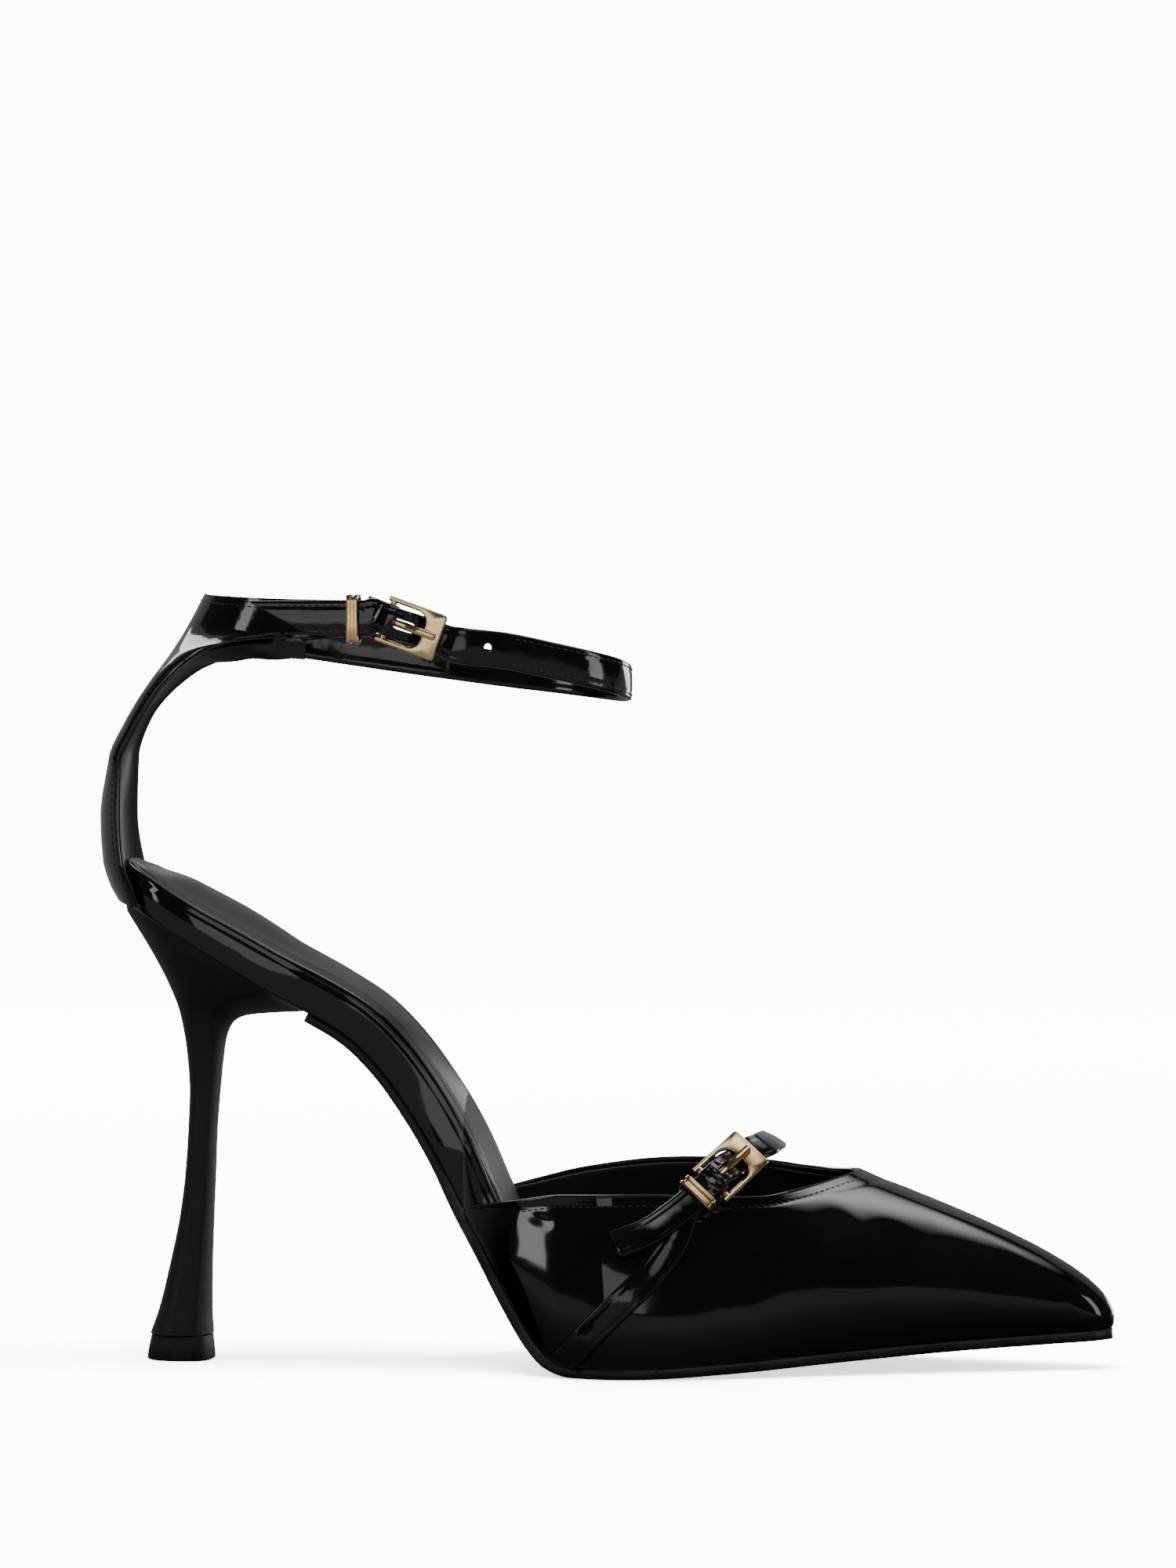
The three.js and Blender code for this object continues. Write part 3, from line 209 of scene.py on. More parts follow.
def floor_inset(x):
    return mix(RAND_THICKNESS + 2 * FIT, UPPER_FLOOR_INSET, ramp(x, 58, 68))


def padding_top(x, y):
    half = np.maximum(half_width(x, np.where(y < 0, -1, 1)), 0.5)
    crown = FOOTBED_CROWN * np.clip(1 - (y / half) ** 2, 0, 1) * (1 - in_forepart(x))
    return mix(SEAT_PADDING, FORE_PADDING, in_forepart(x)) + crown


def pad_rise(x, y):
    along = ramp(x, -12, 1) * (1 - ramp(x, 6, 32))
    return HEEL_PAD * along * (1 - ramp(np.abs(y), 4, 14))


def sock_height(x, y):
    return padding_top(x, y) + pad_rise(x, y) + FIT * (3 - in_forepart(x) * 2) + SOCK_THICKNESS


# ---------- the vamp ----------
outer_topline = track([
    [0, 66.5, 1, 36.9], [0.05, 77, 0.97, 38.5], [0.1, 88, 0.94, 40.2], [0.2, 108, 0.87, 40.6],
    [0.3, 122, 0.853, 39.8], [0.4, 132, 0.81, 39.9], [0.5, 139, 0.71, 40.9],
    [0.6, 145, 0.566, 42.2], [0.8, 151.8, 0.27, 44], [1, 153.5, 0, 44.5],
])
inner_topline = track([
    [0, 66.5, 1, 36.9], [0.05, 77, 0.97, 39.6], [0.1, 88, 0.94, 42], [0.2, 108, 0.84, 44.1],
    [0.3, 122, 0.8, 44.3], [0.4, 132, 0.76, 44], [0.5, 139, 0.67, 43.6],
    [0.6, 145, 0.53, 43.5], [0.8, 151.8, 0.26, 44.1], [1, 153.5, 0, 44.5],
])
topline_lead = track([
    [0, 0, 0, 0.3], [0.2, 0, 3.2, 0.3], [0.3, 1.5, 4, 0.28], [0.4, 5, 4.5, 0.27],
    [0.6, 17, 4, 0.25], [0.8, 27, 2.2, 0.3], [1, 32.5, 0, 0.35],
])


def vamp_surface(u, v):
    """u runs from the back of the outer side round the toe to the inner side, v from sole to topline."""
    u, v = np.broadcast_arrays(np.asarray(u, float), np.asarray(v, float))
    station = 2 * u
    side = np.where(station < 1, -1.0, 1.0)
    local = np.clip(np.where(station < 1, station, 2 - station), 0, 1)
    along = np.sin(np.clip(pi * station / 2, 0, pi))
    foot_x = VAMP_BACK + (TOE_TIP - VAMP_BACK) * along
    foot = vec(foot_x, side * half_width(foot_x, side), feather(foot_x))
    line = np.where((side < 0)[..., None], outer_topline(local), inner_topline(local))
    top_x, share, top_z = line[..., 0], line[..., 1], line[..., 2]
    top = vec(top_x, side * half_width(top_x, side) * share, top_z)
    rise = top_z - foot[..., 2]
    soft = np.clip(rise / 20, 0, 1)
    toe = along**3
    out = vec(toe, side * np.sqrt(np.clip(1 - toe * toe, 0, 1)), 0)
    swell = mix(2.6, 3.7, toe) * soft
    lead = topline_lead(local)
    lower = foot + out * swell[..., None] + vec(0, 0, rise * mix(0.36, 0.31, toe))
    upper = top + vec(lead[..., 0] * soft, side * lead[..., 1] * soft, -lead[..., 2] * rise)
    return bezier(foot, lower, upper, top, v)


def normal_of(surface, u, v, step=1e-3):
    du = surface(np.asarray(u) + step, v) - surface(np.asarray(u) - step, v)
    dv = surface(u, np.asarray(v) + step) - surface(u, np.asarray(v) - step)
    return unit(np.cross(du, dv))


def vamp_normal(u, v):
    """Out of the vamp, steady at its ends where the surface closes up."""
    inside = np.clip(u, 0.004, 0.996)
    return normal_of(vamp_surface, inside, np.clip(v, 0.002, 0.998))


# ---------- straps and buckles ----------
def buckle_frame(origin, forward, outward):
    """A buckle's own frame: X from its bar to its front, Z away from the foot."""
    x = unit(np.array(forward, float))
    y = unit(np.cross(outward, x))
    return np.column_stack([x, y, np.cross(x, y)]), np.array(origin, float)


def placed(frame_of, points):
    turn, origin = frame_of
    return np.asarray(points, float) @ turn.T + origin


ankle_place = buckle_frame((48.3, -25.4, 169.5), (0.94, 0, -0.342), (0, -1, 0))
ankle_keeper_place = buckle_frame((40.6, -25.3, 169.6), (1, 0, 0), (0, -1, 0))
ankle_hole_place = buckle_frame((70.5, -22.8, 163.2), (0.94, 0.3, -0.2), (0.3, -0.95, 0))
instep_place = buckle_frame((122.1, -30.9, 43.9), (0.66, 0.43, 0.61), (0.153, -0.877, 0.453))


def in_frame(frame_of, x, z, width):
    point = placed(frame_of, [x, 0, z])
    return [*point, *frame_of[0][:, 2], width]


def through_buckle(frame_of, width):
    """The strap's way in under the front of a buckle, up through it and over its bar."""
    narrow = min(width, IN_BUCKLE_WIDTH)
    rows = [
        (BUCKLE_LENGTH + 4, UNDER_FRONT + 0.5, width),
        (BUCKLE_LENGTH + 0.4, UNDER_FRONT, narrow),
        (FRONT_START, UNDER_FRONT - 0.1, narrow),
        (FRONT_START - 1.4, UNDER_FRONT + 0.7, narrow),
        (5.5, 0.5, narrow),
        (3.8, 1.9, narrow),
        (1.9, OVER_BAR - 0.1, narrow),
        (0, OVER_BAR + 0.1, narrow),
        (-1.8, OVER_BAR - 0.35, narrow),
        (-3, OVER_STRAP + 0.2, mix(narrow, width, 0.5)),
    ]
    return [in_frame(frame_of, *row) for row in rows]


def outward(x, y, z, nx, ny):
    return [x, y, z, nx, ny, 0, ANKLE_WIDTH]


def ankle_stations():
    return [
        outward(15, 24.1, 165.6, -0.12, 0.99), outward(24, 25.2, 164.2, -0.1, 0.99),
        outward(40, 26.8, 161.8, 0, 1), outward(56, 25.6, 159.6, 0.15, 0.99),
        outward(72, 22, 157.6, 0.3, 0.95), outward(84, 17.5, 156.3, 0.45, 0.9),
        outward(93, 11.5, 155.3, 0.7, 0.7), outward(98.5, 5, 154.8, 0.93, 0.35),
        outward(100.6, -1.5, 155.2, 1, 0), outward(98.8, -8, 156.5, 0.85, -0.5),
        outward(93, -14, 158.3, 0.6, -0.8), outward(84, -18.8, 160.5, 0.4, -0.92),
        outward(74, -22, 162.6, 0.25, -0.97),
        *through_buckle(ankle_place, ANKLE_WIDTH),
        outward(43.2, -25.4 - OVER_STRAP - 0.1, 169.8, 0, -1),
        outward(36, -27, 169.8, 0, -1), outward(24, -26.4, 169.9, -0.1, -0.99),
    ]


def on_vamp(u, v, lift, width=INSTEP_WIDTH):
    point = vamp_surface(u, v)
    normal = -vamp_normal(u, v)
    if normal[1] * (u - 0.5) < 0:
        normal = -normal
    return [*(point + normal * lift), *normal, width]


def tab_stations():
    flat = [(0.054, 0.04, 0), (0.066, 0.18, 0), (0.082, 0.36, 0), (0.1, 0.54, 0), (0.115, 0.72, 0.8)]
    rows = [on_vamp(u, v, OVER_VAMP + extra) for u, v, extra in flat]
    return rows + [in_frame(instep_place, x, 0, INSTEP_WIDTH) for x in (-8, -5.2, -2.6)]


def instep_stations():
    flat = [(0.946, 0.04, 0), (0.934, 0.2, 0), (0.915, 0.42, 0), (0.893, 0.66, 0), (0.868, 0.9, 0.2)]
    free = [
        [127.2, 27, 46.4, 0.28, 0.7, 0.65], [129.8, 20.5, 49, 0.36, 0.5, 0.79],
        [131.8, 12, 50.4, 0.45, 0.2, 0.87], [133.3, 2, 51.3, 0.48, 0.03, 0.87],
        [133.9, -8, 51.7, 0.48, -0.14, 0.86], [133.8, -15, 51.9, 0.45, -0.36, 0.82],
        [133.1, -20.6, 51.7, 0.36, -0.66, 0.66],
    ]
    loose = [
        [113, -37.7, 36.7, 0, -0.95, 0.32], [107.5, -40.2, 33.2, -0.05, -0.95, 0.3],
        [101.5, -41.4, 31, -0.05, -0.97, 0.24],
    ]
    return [
        *[on_vamp(u, v, OVER_VAMP + extra) for u, v, extra in flat],
        *[[*row, INSTEP_WIDTH] for row in free],
        *through_buckle(instep_place, INSTEP_WIDTH)[1:],
        in_frame(instep_place, -5.6, OVER_STRAP, INSTEP_WIDTH),
        *[[*row, INSTEP_WIDTH] for row in loose],
    ]


class Ribbon:
    """A strap through stations of [x, y, z, normal x, y, z, width]."""

    def __init__(self, stations):
        stations = np.array(stations, float)
        run = np.linalg.norm(np.diff(stations[:, :3], axis=0), axis=1)
        self.length = run.sum()
        share = np.concatenate([[0], np.cumsum(run)]) / self.length
        self.at = track(np.column_stack([share, stations]))

    def frame(self, t):
        """Middle, along, across, out and width at shares t of the length."""
        t = np.asarray(t, float)
        row = self.at(t)
        step = 1.5e-3
        ahead, behind = self.at(np.minimum(t + step, 1)), self.at(np.maximum(t - step, 0))
        along = unit(ahead[..., :3] - behind[..., :3])
        across = unit(np.cross(row[..., 3:6], along))
        out = np.cross(along, across)
        return row[..., :3], along, across, out, row[..., 6]


# ---------- back strap ----------
back_middle = track([
    [-0.08, -17.1, 106.1], [0, -18.9, 109.2], [0.12, -20.5, 115], [0.3, -21, 124.5],
    [0.5, -18.2, 138.9], [0.7, -10.9, 151.5], [0.9, -2, 166], [1, 3.1, 175.4],
])
back_outer_edge = track([
    [-0.08, -10.6, -17.2, 104.2, -3, 1.5, 8], [0, -12, -16.8, 107.8, -3, 2, 8],
    [0.12, -14.6, -15.6, 114.3, -3.2, 2.8, 7], [0.3, -15.4, -15.2, 125, -3, 3, 7],
    [0.5, -15, -15.5, 137, -3.5, 3, 7], [0.6, -11, -17, 145.5, -4, 3, 7.5],
    [0.68, -3.5, -19.5, 155.5, -6, 2.5, 9], [0.76, 5, -22, 161.6, -9, 1.5, 11],
    [0.82, 14, -23.6, 164.6, -13, 0.5, 12.5], [0.88, 25, -24.3, 165.4, -18, 0.2, 14],
    [0.94, 42.8, -25.3, 165.4, -29, 0.3, 15], [1, 42.8, -25.3, 173.8, -26, 0.4, 15],
])
back_inner_edge = track([
    [-0.08, -10.6, 17.2, 104.2, -3, -1.5, -8], [0, -12, 16.8, 107.8, -3, -2, -8],
    [0.12, -14.6, 15.6, 114.3, -3.2, -2.8, -7], [0.3, -16, 15.2, 125, -3, -3, -7],
    [0.5, -15.6, 15.5, 138, -3.5, -3, -7], [0.6, -12.6, 17, 147, -4, -3, -7.5],
    [0.68, -7, 19, 153.8, -5, -2.5, -9], [0.76, 1, 21, 158.8, -8, -1.5, -11],
    [0.82, 8, 22, 160.8, -10, -1, -12], [0.88, 14, 22.6, 160.9, -10, -0.6, -13],
    [0.94, 22.5, 23.4, 160.1, -13, -0.5, -14], [1, 22.5, 23.4, 168.5, -12, -0.5, -14],
])


def back_surface(u, v):
    """u runs up the strap, v across it from the outer edge over the middle to the inner edge."""
    u, v = np.broadcast_arrays(np.asarray(u, float), np.asarray(v, float))
    spine = back_middle(u)
    middle = vec(spine[..., 0], 0, spine[..., 1])
    edge_row = np.where((v < 0.5)[..., None], back_outer_edge(u), back_inner_edge(u))
    edge = edge_row[..., :3]
    climb = edge[..., 2] - middle[..., 2]
    leaving = middle + vec(0, -edge_row[..., 5], climb * 0.12)
    arriving = edge + vec(edge_row[..., 3], edge_row[..., 4], -climb * 0.2)
    return bezier(middle, leaving, arriving, edge, np.abs(v - 0.5) * 2)


# ---------- meshes ----------
def to_row(points):
    """From millimetres along the last to metres in the row's frame."""
    return (np.asarray(points, float) + [LAST_SHIFT, 0, 0]) / 1000


def make_piece(name, points, faces, material, sharp_degrees=None):
    """A mesh object from points on the last, with smooth faces that look outwards."""
    mesh = bpy.data.meshes.new(name)
    mesh.from_pydata([tuple(p) for p in to_row(points)], [], [tuple(f) for f in faces])
    bm = bmesh.new()
    bm.from_mesh(mesh)
    bmesh.ops.remove_doubles(bm, verts=bm.verts, dist=2e-6)
    bmesh.ops.dissolve_degenerate(bm, edges=bm.edges, dist=1e-6)
    bmesh.ops.recalc_face_normals(bm, faces=bm.faces)
    bm.to_mesh(mesh)
    bm.free()
    mesh.shade_smooth()
    if sharp_degrees:
        mesh.set_sharp_from_angle(angle=radians(sharp_degrees))
    piece = bpy.data.objects.new(name, mesh)
    bpy.context.scene.collection.objects.link(piece)
    piece.data.materials.append(material)
    return piece


def loft(rings, closed=False):
    """Points and faces of a skin over rings of one length, with flat ends unless it closes on itself."""
    rings = np.asarray(rings, float)
    count, size = rings.shape[:2]
    points = rings.reshape(-1, 3)
    faces = []
    for i in range(count if closed else count - 1):
        here, there = i * size, ((i + 1) % count) * size
        for j in range(size):
            k = (j + 1) % size
            faces.append((here + j, here + k, there + k, there + j))
    if not closed:
        faces.append(tuple(reversed(range(size))))
        faces.append(tuple(range((count - 1) * size, count * size)))
    return points, faces


def thick_rings(face, out, thickness, edge_steps=6, round_start=True, round_end=True, roll=0.0):
    """Rings round a sheet: along its face, round its edge, back along its other side.

    face and out have the shape (rings, across, 3); out points away from the sheet's body.
    """
    half = thickness / 2
    middle = face - out * half
    rings = []
    for line, normal in zip(middle, out):
        start = unit(line[0] - line[1])
        end = unit(line[-1] - line[-2])
        turns = np.linspace(0, pi, edge_steps + 1)[1:-1]
        swell = half + roll
        front = line + normal * half
        back = line - normal * half
        ring = [front]
        if round_end:
            ring.append([line[-1] + end * sin(a) * swell + normal[-1] * cos(a) * swell for a in turns])
        ring.append(back[::-1])
        if round_start:
            ring.append([line[0] + start * sin(a) * swell - normal[0] * cos(a) * swell for a in turns])
        rings.append(np.concatenate([np.asarray(part).reshape(-1, 3) for part in ring]))
    return np.array(rings)


def rounded_ends(rings, depth, steps=5):
    """Closes a loft with softened ends: its first and last rings shrink as they leave it."""
    centres = rings.mean(axis=1, keepdims=True)
    lead_in = unit((centres[0] - centres[1])[0])
    lead_out = unit((centres[-1] - centres[-2])[0])
    angles = np.linspace(0, pi / 2, steps + 1)[1:]
    reach = np.linalg.norm(rings[0] - centres[0], axis=1).max()

    def cap(ring, centre, lead):
        out = []
        for a in angles:
            shrink = 1 - (1 - cos(a)) * min(0.9, depth / reach)
            out.append(centre + (ring - centre) * shrink + lead * depth * sin(a))
        return out

    first = cap(rings[0], centres[0], lead_in)[::-1]
    last = cap(rings[-1], centres[-1], lead_out)
    return np.concatenate([np.array(first), rings, np.array(last)])


# ---------- materials ----------
def new_group(name, kind, inputs, outputs):
    """A node group with its sockets made and its two end nodes placed."""
    tree = bpy.data.node_groups.new(name, kind)
    for label, socket, default in inputs:
        made = tree.interface.new_socket(name=label, in_out="INPUT", socket_type=socket)
        if default is not None:
            made.default_value = default
    for label, socket in outputs:
        tree.interface.new_socket(name=label, in_out="OUTPUT", socket_type=socket)
    return tree, tree.nodes.new("NodeGroupInput"), tree.nodes.new("NodeGroupOutput")


def join_up(tree, *pairs):
    for source, target in pairs:
        tree.links.new(source, target)


def math_node(tree, operation, first, second):
    node = tree.nodes.new("ShaderNodeMath")
    node.operation = operation
    for slot, value in zip(node.inputs, (first, second)):
        if isinstance(value, (int, float)):
            slot.default_value = value
        else:
            tree.links.new(value, slot)
    return node.outputs[0]


def skin_relief_group():
    """Height of a sheet's surface: broad waves, and fine grain of pebbles with creases between them."""
    tree, start, end = new_group(
        "skin_relief", "ShaderNodeTree",
        [("Vector", "NodeSocketVector", None), ("Wave Scale", "NodeSocketFloat", 60.0),
         ("Wave Share", "NodeSocketFloat", 1.0), ("Grain Scale", "NodeSocketFloat", 900.0),
         ("Grain Share", "NodeSocketFloat", 0.2)],
        [("Height", "NodeSocketFloat")],
    )
    waves = tree.nodes.new("ShaderNodeTexNoise")
    waves.inputs["Detail"].default_value = 2.0
    pebbles = tree.nodes.new("ShaderNodeTexVoronoi")
    pebbles.feature = "SMOOTH_F1"
    join_up(tree, (start.outputs["Vector"], waves.inputs["Vector"]),
            (start.outputs["Vector"], pebbles.inputs["Vector"]),
            (start.outputs["Wave Scale"], waves.inputs["Scale"]),
            (start.outputs["Grain Scale"], pebbles.inputs["Scale"]))
    broad = math_node(tree, "MULTIPLY", waves.outputs["Fac"], start.outputs["Wave Share"])
    fine = math_node(tree, "MULTIPLY", pebbles.outputs["Distance"], start.outputs["Grain Share"])
    tree.links.new(math_node(tree, "ADD", broad, fine), end.inputs["Height"])
    return tree


def handling_marks_group():
    """A patchy mask of fingering, dust and light rubbing."""
    tree, start, end = new_group(
        "handling_marks", "ShaderNodeTree",
        [("Vector", "NodeSocketVector", None), ("Scale", "NodeSocketFloat", 40.0),
         ("Sharpness", "NodeSocketFloat", 3.0), ("Amount", "NodeSocketFloat", 1.0)],
        [("Mask", "NodeSocketFloat")],
    )
    patches = tree.nodes.new("ShaderNodeTexNoise")
    patches.inputs["Detail"].default_value = 6.0
    patches.inputs["Roughness"].default_value = 0.62
    join_up(tree, (start.outputs["Vector"], patches.inputs["Vector"]),
            (start.outputs["Scale"], patches.inputs["Scale"]))
    centred = math_node(tree, "SUBTRACT", patches.outputs["Fac"], 0.5)
    steep = math_node(tree, "MULTIPLY", centred, start.outputs["Sharpness"])
    lifted = math_node(tree, "ADD", steep, 0.5)
    clamp = tree.nodes.new("ShaderNodeClamp")
    tree.links.new(lifted, clamp.inputs["Value"])
    mask = math_node(tree, "MULTIPLY", clamp.outputs[0], start.outputs["Amount"])
    tree.links.new(mask, end.inputs["Mask"])
    return tree


def finish_material(name, color, rubbed, roughness, rubbed_roughness, metallic=0.0, coat=0.0,
                    coat_roughness=0.05, stretch=(1, 1, 1), wave=(60, 1.0), grain=(900, 0.2),
                    marks=(40, 3.0, 1.0), bump=0.1, depth=0.0003, specular=0.5, sheen=0.0):
    """A material of one colour that rubbing shifts, with the relief of its own surface."""
    groups = bpy.data.node_groups
    relief_tree = groups.get("skin_relief") or skin_relief_group()
    marks_tree = groups.get("handling_marks") or handling_marks_group()
    material = bpy.data.materials.new(name)
    material.use_nodes = True
    material.diffuse_color = (*color, 1)
    tree = material.node_tree
    shader = tree.nodes["Principled BSDF"]
    shader.inputs["Metallic"].default_value = metallic
    shader.inputs["Coat Weight"].default_value = coat
    shader.inputs["Coat Roughness"].default_value = coat_roughness
    shader.inputs["Specular IOR Level"].default_value = specular
    shader.inputs["Sheen Weight"].default_value = sheen
    place = tree.nodes.new("ShaderNodeTexCoord")
    turn = tree.nodes.new("ShaderNodeMapping")
    turn.inputs["Scale"].default_value = stretch
    relief = tree.nodes.new("ShaderNodeGroup")
    relief.node_tree = relief_tree
    relief.inputs["Wave Scale"].default_value, relief.inputs["Wave Share"].default_value = wave
    relief.inputs["Grain Scale"].default_value, relief.inputs["Grain Share"].default_value = grain
    worn = tree.nodes.new("ShaderNodeGroup")
    worn.node_tree = marks_tree
    worn.inputs["Scale"].default_value = marks[0]
    worn.inputs["Sharpness"].default_value = marks[1]
    worn.inputs["Amount"].default_value = marks[2]
    tone = tree.nodes.new("ShaderNodeMix")
    tone.data_type = "RGBA"
    tone.inputs["A"].default_value = (*color, 1)
    tone.inputs["B"].default_value = (*rubbed, 1)
    rough = tree.nodes.new("ShaderNodeMapRange")
    rough.inputs["To Min"].default_value = roughness
    rough.inputs["To Max"].default_value = rubbed_roughness
    raised = tree.nodes.new("ShaderNodeBump")
    raised.inputs["Strength"].default_value = bump
    raised.inputs["Distance"].default_value = depth
    join_up(tree, (place.outputs["Object"], turn.inputs["Vector"]),
            (turn.outputs["Vector"], relief.inputs["Vector"]),
            (turn.outputs["Vector"], worn.inputs["Vector"]),
            (worn.outputs["Mask"], tone.inputs["Factor"]),
            (worn.outputs["Mask"], rough.inputs["Value"]),
            (tone.outputs["Result"], shader.inputs["Base Color"]),
            (rough.outputs["Result"], shader.inputs["Roughness"]),
            (relief.outputs["Height"], raised.inputs["Height"]),
            (raised.outputs["Normal"], shader.inputs["Normal"]))
    return material


def finish(name):
    """The named finish, made the first time it is asked for."""
    found = bpy.data.materials.get(name)
    if found:
        return found
    tones = bpy.context.scene.pump_finish
    patent, lining, metal = tuple(tones.patent), tuple(tones.lining), tuple(tones.metal)
    gloss = tones.gloss_roughness
    recipes = {
        "patent_black": dict(
            color=patent, rubbed=(0.008, 0.008, 0.009), roughness=gloss, rubbed_roughness=gloss + 0.035,
            coat=0.35, coat_roughness=0.02, wave=(70, 1.0), grain=(420, 0.05),
            marks=(55, 3.0, 0.8), bump=0.22, depth=0.0004, specular=0.55),
        "patent_strap": dict(
            color=patent, rubbed=(0.009, 0.009, 0.01), roughness=gloss + 0.01,
            rubbed_roughness=gloss + 0.06,
            coat=0.3, coat_roughness=0.03, wave=(190, 1.0), grain=(700, 0.05),
            marks=(90, 3.0, 0.9), bump=0.3, depth=0.00035, specular=0.55),
        "lining_satin": dict(
            color=lining, rubbed=tuple(0.7 * c for c in lining), roughness=0.36, rubbed_roughness=0.5,
            wave=(120, 0.5), grain=(2600, 0.4), marks=(60, 2.0, 0.8), bump=0.3, depth=0.00012,
            specular=0.5),
        "heel_cover": dict(
            color=(0.006, 0.006, 0.0065), rubbed=(0.011, 0.011, 0.012), roughness=0.2,
            rubbed_roughness=0.29, coat=0.15, coat_roughness=0.1, stretch=(1, 1, 0.6),
            wave=(70, 0.6), grain=(1400, 0.15), marks=(50, 2.5, 0.8), bump=0.12, depth=0.0003),
        "sole_black": dict(
            color=(0.012, 0.012, 0.0125), rubbed=(0.03, 0.03, 0.031), roughness=0.34,
            rubbed_roughness=0.5, wave=(260, 0.6), grain=(2200, 0.5), marks=(120, 4.0, 0.9),
            bump=0.25, depth=0.0002),
        "tip_rubber": dict(
            color=(0.01, 0.01, 0.0105), rubbed=(0.03, 0.03, 0.032), roughness=0.5,
            rubbed_roughness=0.7, wave=(300, 0.6), grain=(3000, 0.8), marks=(200, 4.0, 0.9),
            bump=0.35, depth=0.0002),
        "hardware_gold": dict(
            color=metal, rubbed=tuple(0.92 * c for c in metal), roughness=0.13, rubbed_roughness=0.21,
            metallic=1.0, stretch=(1, 1, 3), wave=(300, 0.2), grain=(3500, 0.1),
            marks=(260, 4.0, 1.0), bump=0.012, depth=0.0001),
        "thread_black": dict(
            color=(0.012, 0.012, 0.013), rubbed=(0.03, 0.03, 0.03), roughness=0.45,
            rubbed_roughness=0.6, wave=(3000, 1.0), grain=(6000, 0.5), marks=(900, 3.0, 1.0),
            bump=0.4, depth=0.0001, sheen=0.1),
        "inner_steel": dict(
            color=(0.46, 0.47, 0.49), rubbed=(0.3, 0.29, 0.28), roughness=0.28, rubbed_roughness=0.45,
            metallic=1.0, stretch=(1, 6, 6), wave=(300, 0.5), grain=(2500, 0.3),
            marks=(150, 4.0, 1.0), bump=0.15, depth=0.0002),
        "fibre_board": dict(
            color=(0.26, 0.19, 0.12), rubbed=(0.19, 0.13, 0.08), roughness=0.85, rubbed_roughness=0.95,
            wave=(400, 0.6), grain=(2400, 0.9), marks=(300, 4.0, 1.0), bump=0.6, depth=0.0003),
        "padding_foam": dict(
            color=(0.62, 0.58, 0.5), rubbed=(0.5, 0.46, 0.39), roughness=0.9, rubbed_roughness=0.98,
            wave=(500, 0.4), grain=(1800, 1.0), marks=(200, 3.0, 1.0), bump=0.7, depth=0.0004),
    }
    return finish_material(name, **recipes[name])


# ---------- stitches ----------
def stitch_tree():
    """Lays one thread stitch after another along a curve, standing on the surface it is sewn to."""
    tree, start, end = new_group(
        "stitch_row", "GeometryNodeTree",
        [("Geometry", "NodeSocketGeometry", None), ("Pitch", "NodeSocketFloat", 0.0016),
         ("Stitch Length", "NodeSocketFloat", 0.0013), ("Thread", "NodeSocketFloat", 0.0003),
         ("Finish", "NodeSocketMaterial", None)],
        [("Geometry", "NodeSocketGeometry")],
    )
    make = tree.nodes.new
    curve = make("GeometryNodeMeshToCurve")
    spaced = make("GeometryNodeResampleCurve")
    if "Mode" in spaced.inputs:
        spaced.inputs["Mode"].default_value = "Length"
    else:
        spaced.mode = "LENGTH"
    facing = make("GeometryNodeInputNamedAttribute")
    facing.data_type = "FLOAT_VECTOR"
    facing.inputs["Name"].default_value = "facing"
    tangent = make("GeometryNodeInputTangent")
    stand = make("FunctionNodeAlignRotationToVector")
    stand.axis = "Z"
    lie = make("FunctionNodeAlignRotationToVector")
    lie.axis = "X"
    lie.pivot_axis = "Z"
    bead = make("GeometryNodeMeshUVSphere")
    bead.inputs["Segments"].default_value = 8
    bead.inputs["Rings"].default_value = 5
    bead.inputs["Radius"].default_value = 0.5
    size = make("ShaderNodeCombineXYZ")
    put = make("GeometryNodeInstanceOnPoints")
    solid = make("GeometryNodeRealizeInstances")
    smooth = make("GeometryNodeSetShadeSmooth")
    paint = make("GeometryNodeSetMaterial")
    join_up(tree, (start.outputs["Geometry"], curve.inputs["Mesh"]),
            (curve.outputs["Curve"], spaced.inputs["Curve"]),
            (start.outputs["Pitch"], spaced.inputs["Length"]),
            (facing.outputs["Attribute"], stand.inputs["Vector"]),
            (stand.outputs["Rotation"], lie.inputs["Rotation"]),
            (tangent.outputs["Tangent"], lie.inputs["Vector"]),
            (start.outputs["Stitch Length"], size.inputs["X"]),
            (start.outputs["Thread"], size.inputs["Y"]),
            (start.outputs["Thread"], size.inputs["Z"]),
            (spaced.outputs["Curve"], put.inputs["Points"]),
            (bead.outputs["Mesh"], put.inputs["Instance"]),
            (lie.outputs["Rotation"], put.inputs["Rotation"]),
            (size.outputs["Vector"], put.inputs["Scale"]),
            (put.outputs["Instances"], solid.inputs["Geometry"]),
            (solid.outputs["Geometry"], smooth.inputs["Geometry"]),
            (smooth.outputs["Geometry"], paint.inputs["Geometry"]),
            (start.outputs["Finish"], paint.inputs["Material"]),
            (paint.outputs["Geometry"], end.inputs["Geometry"]))
    return tree


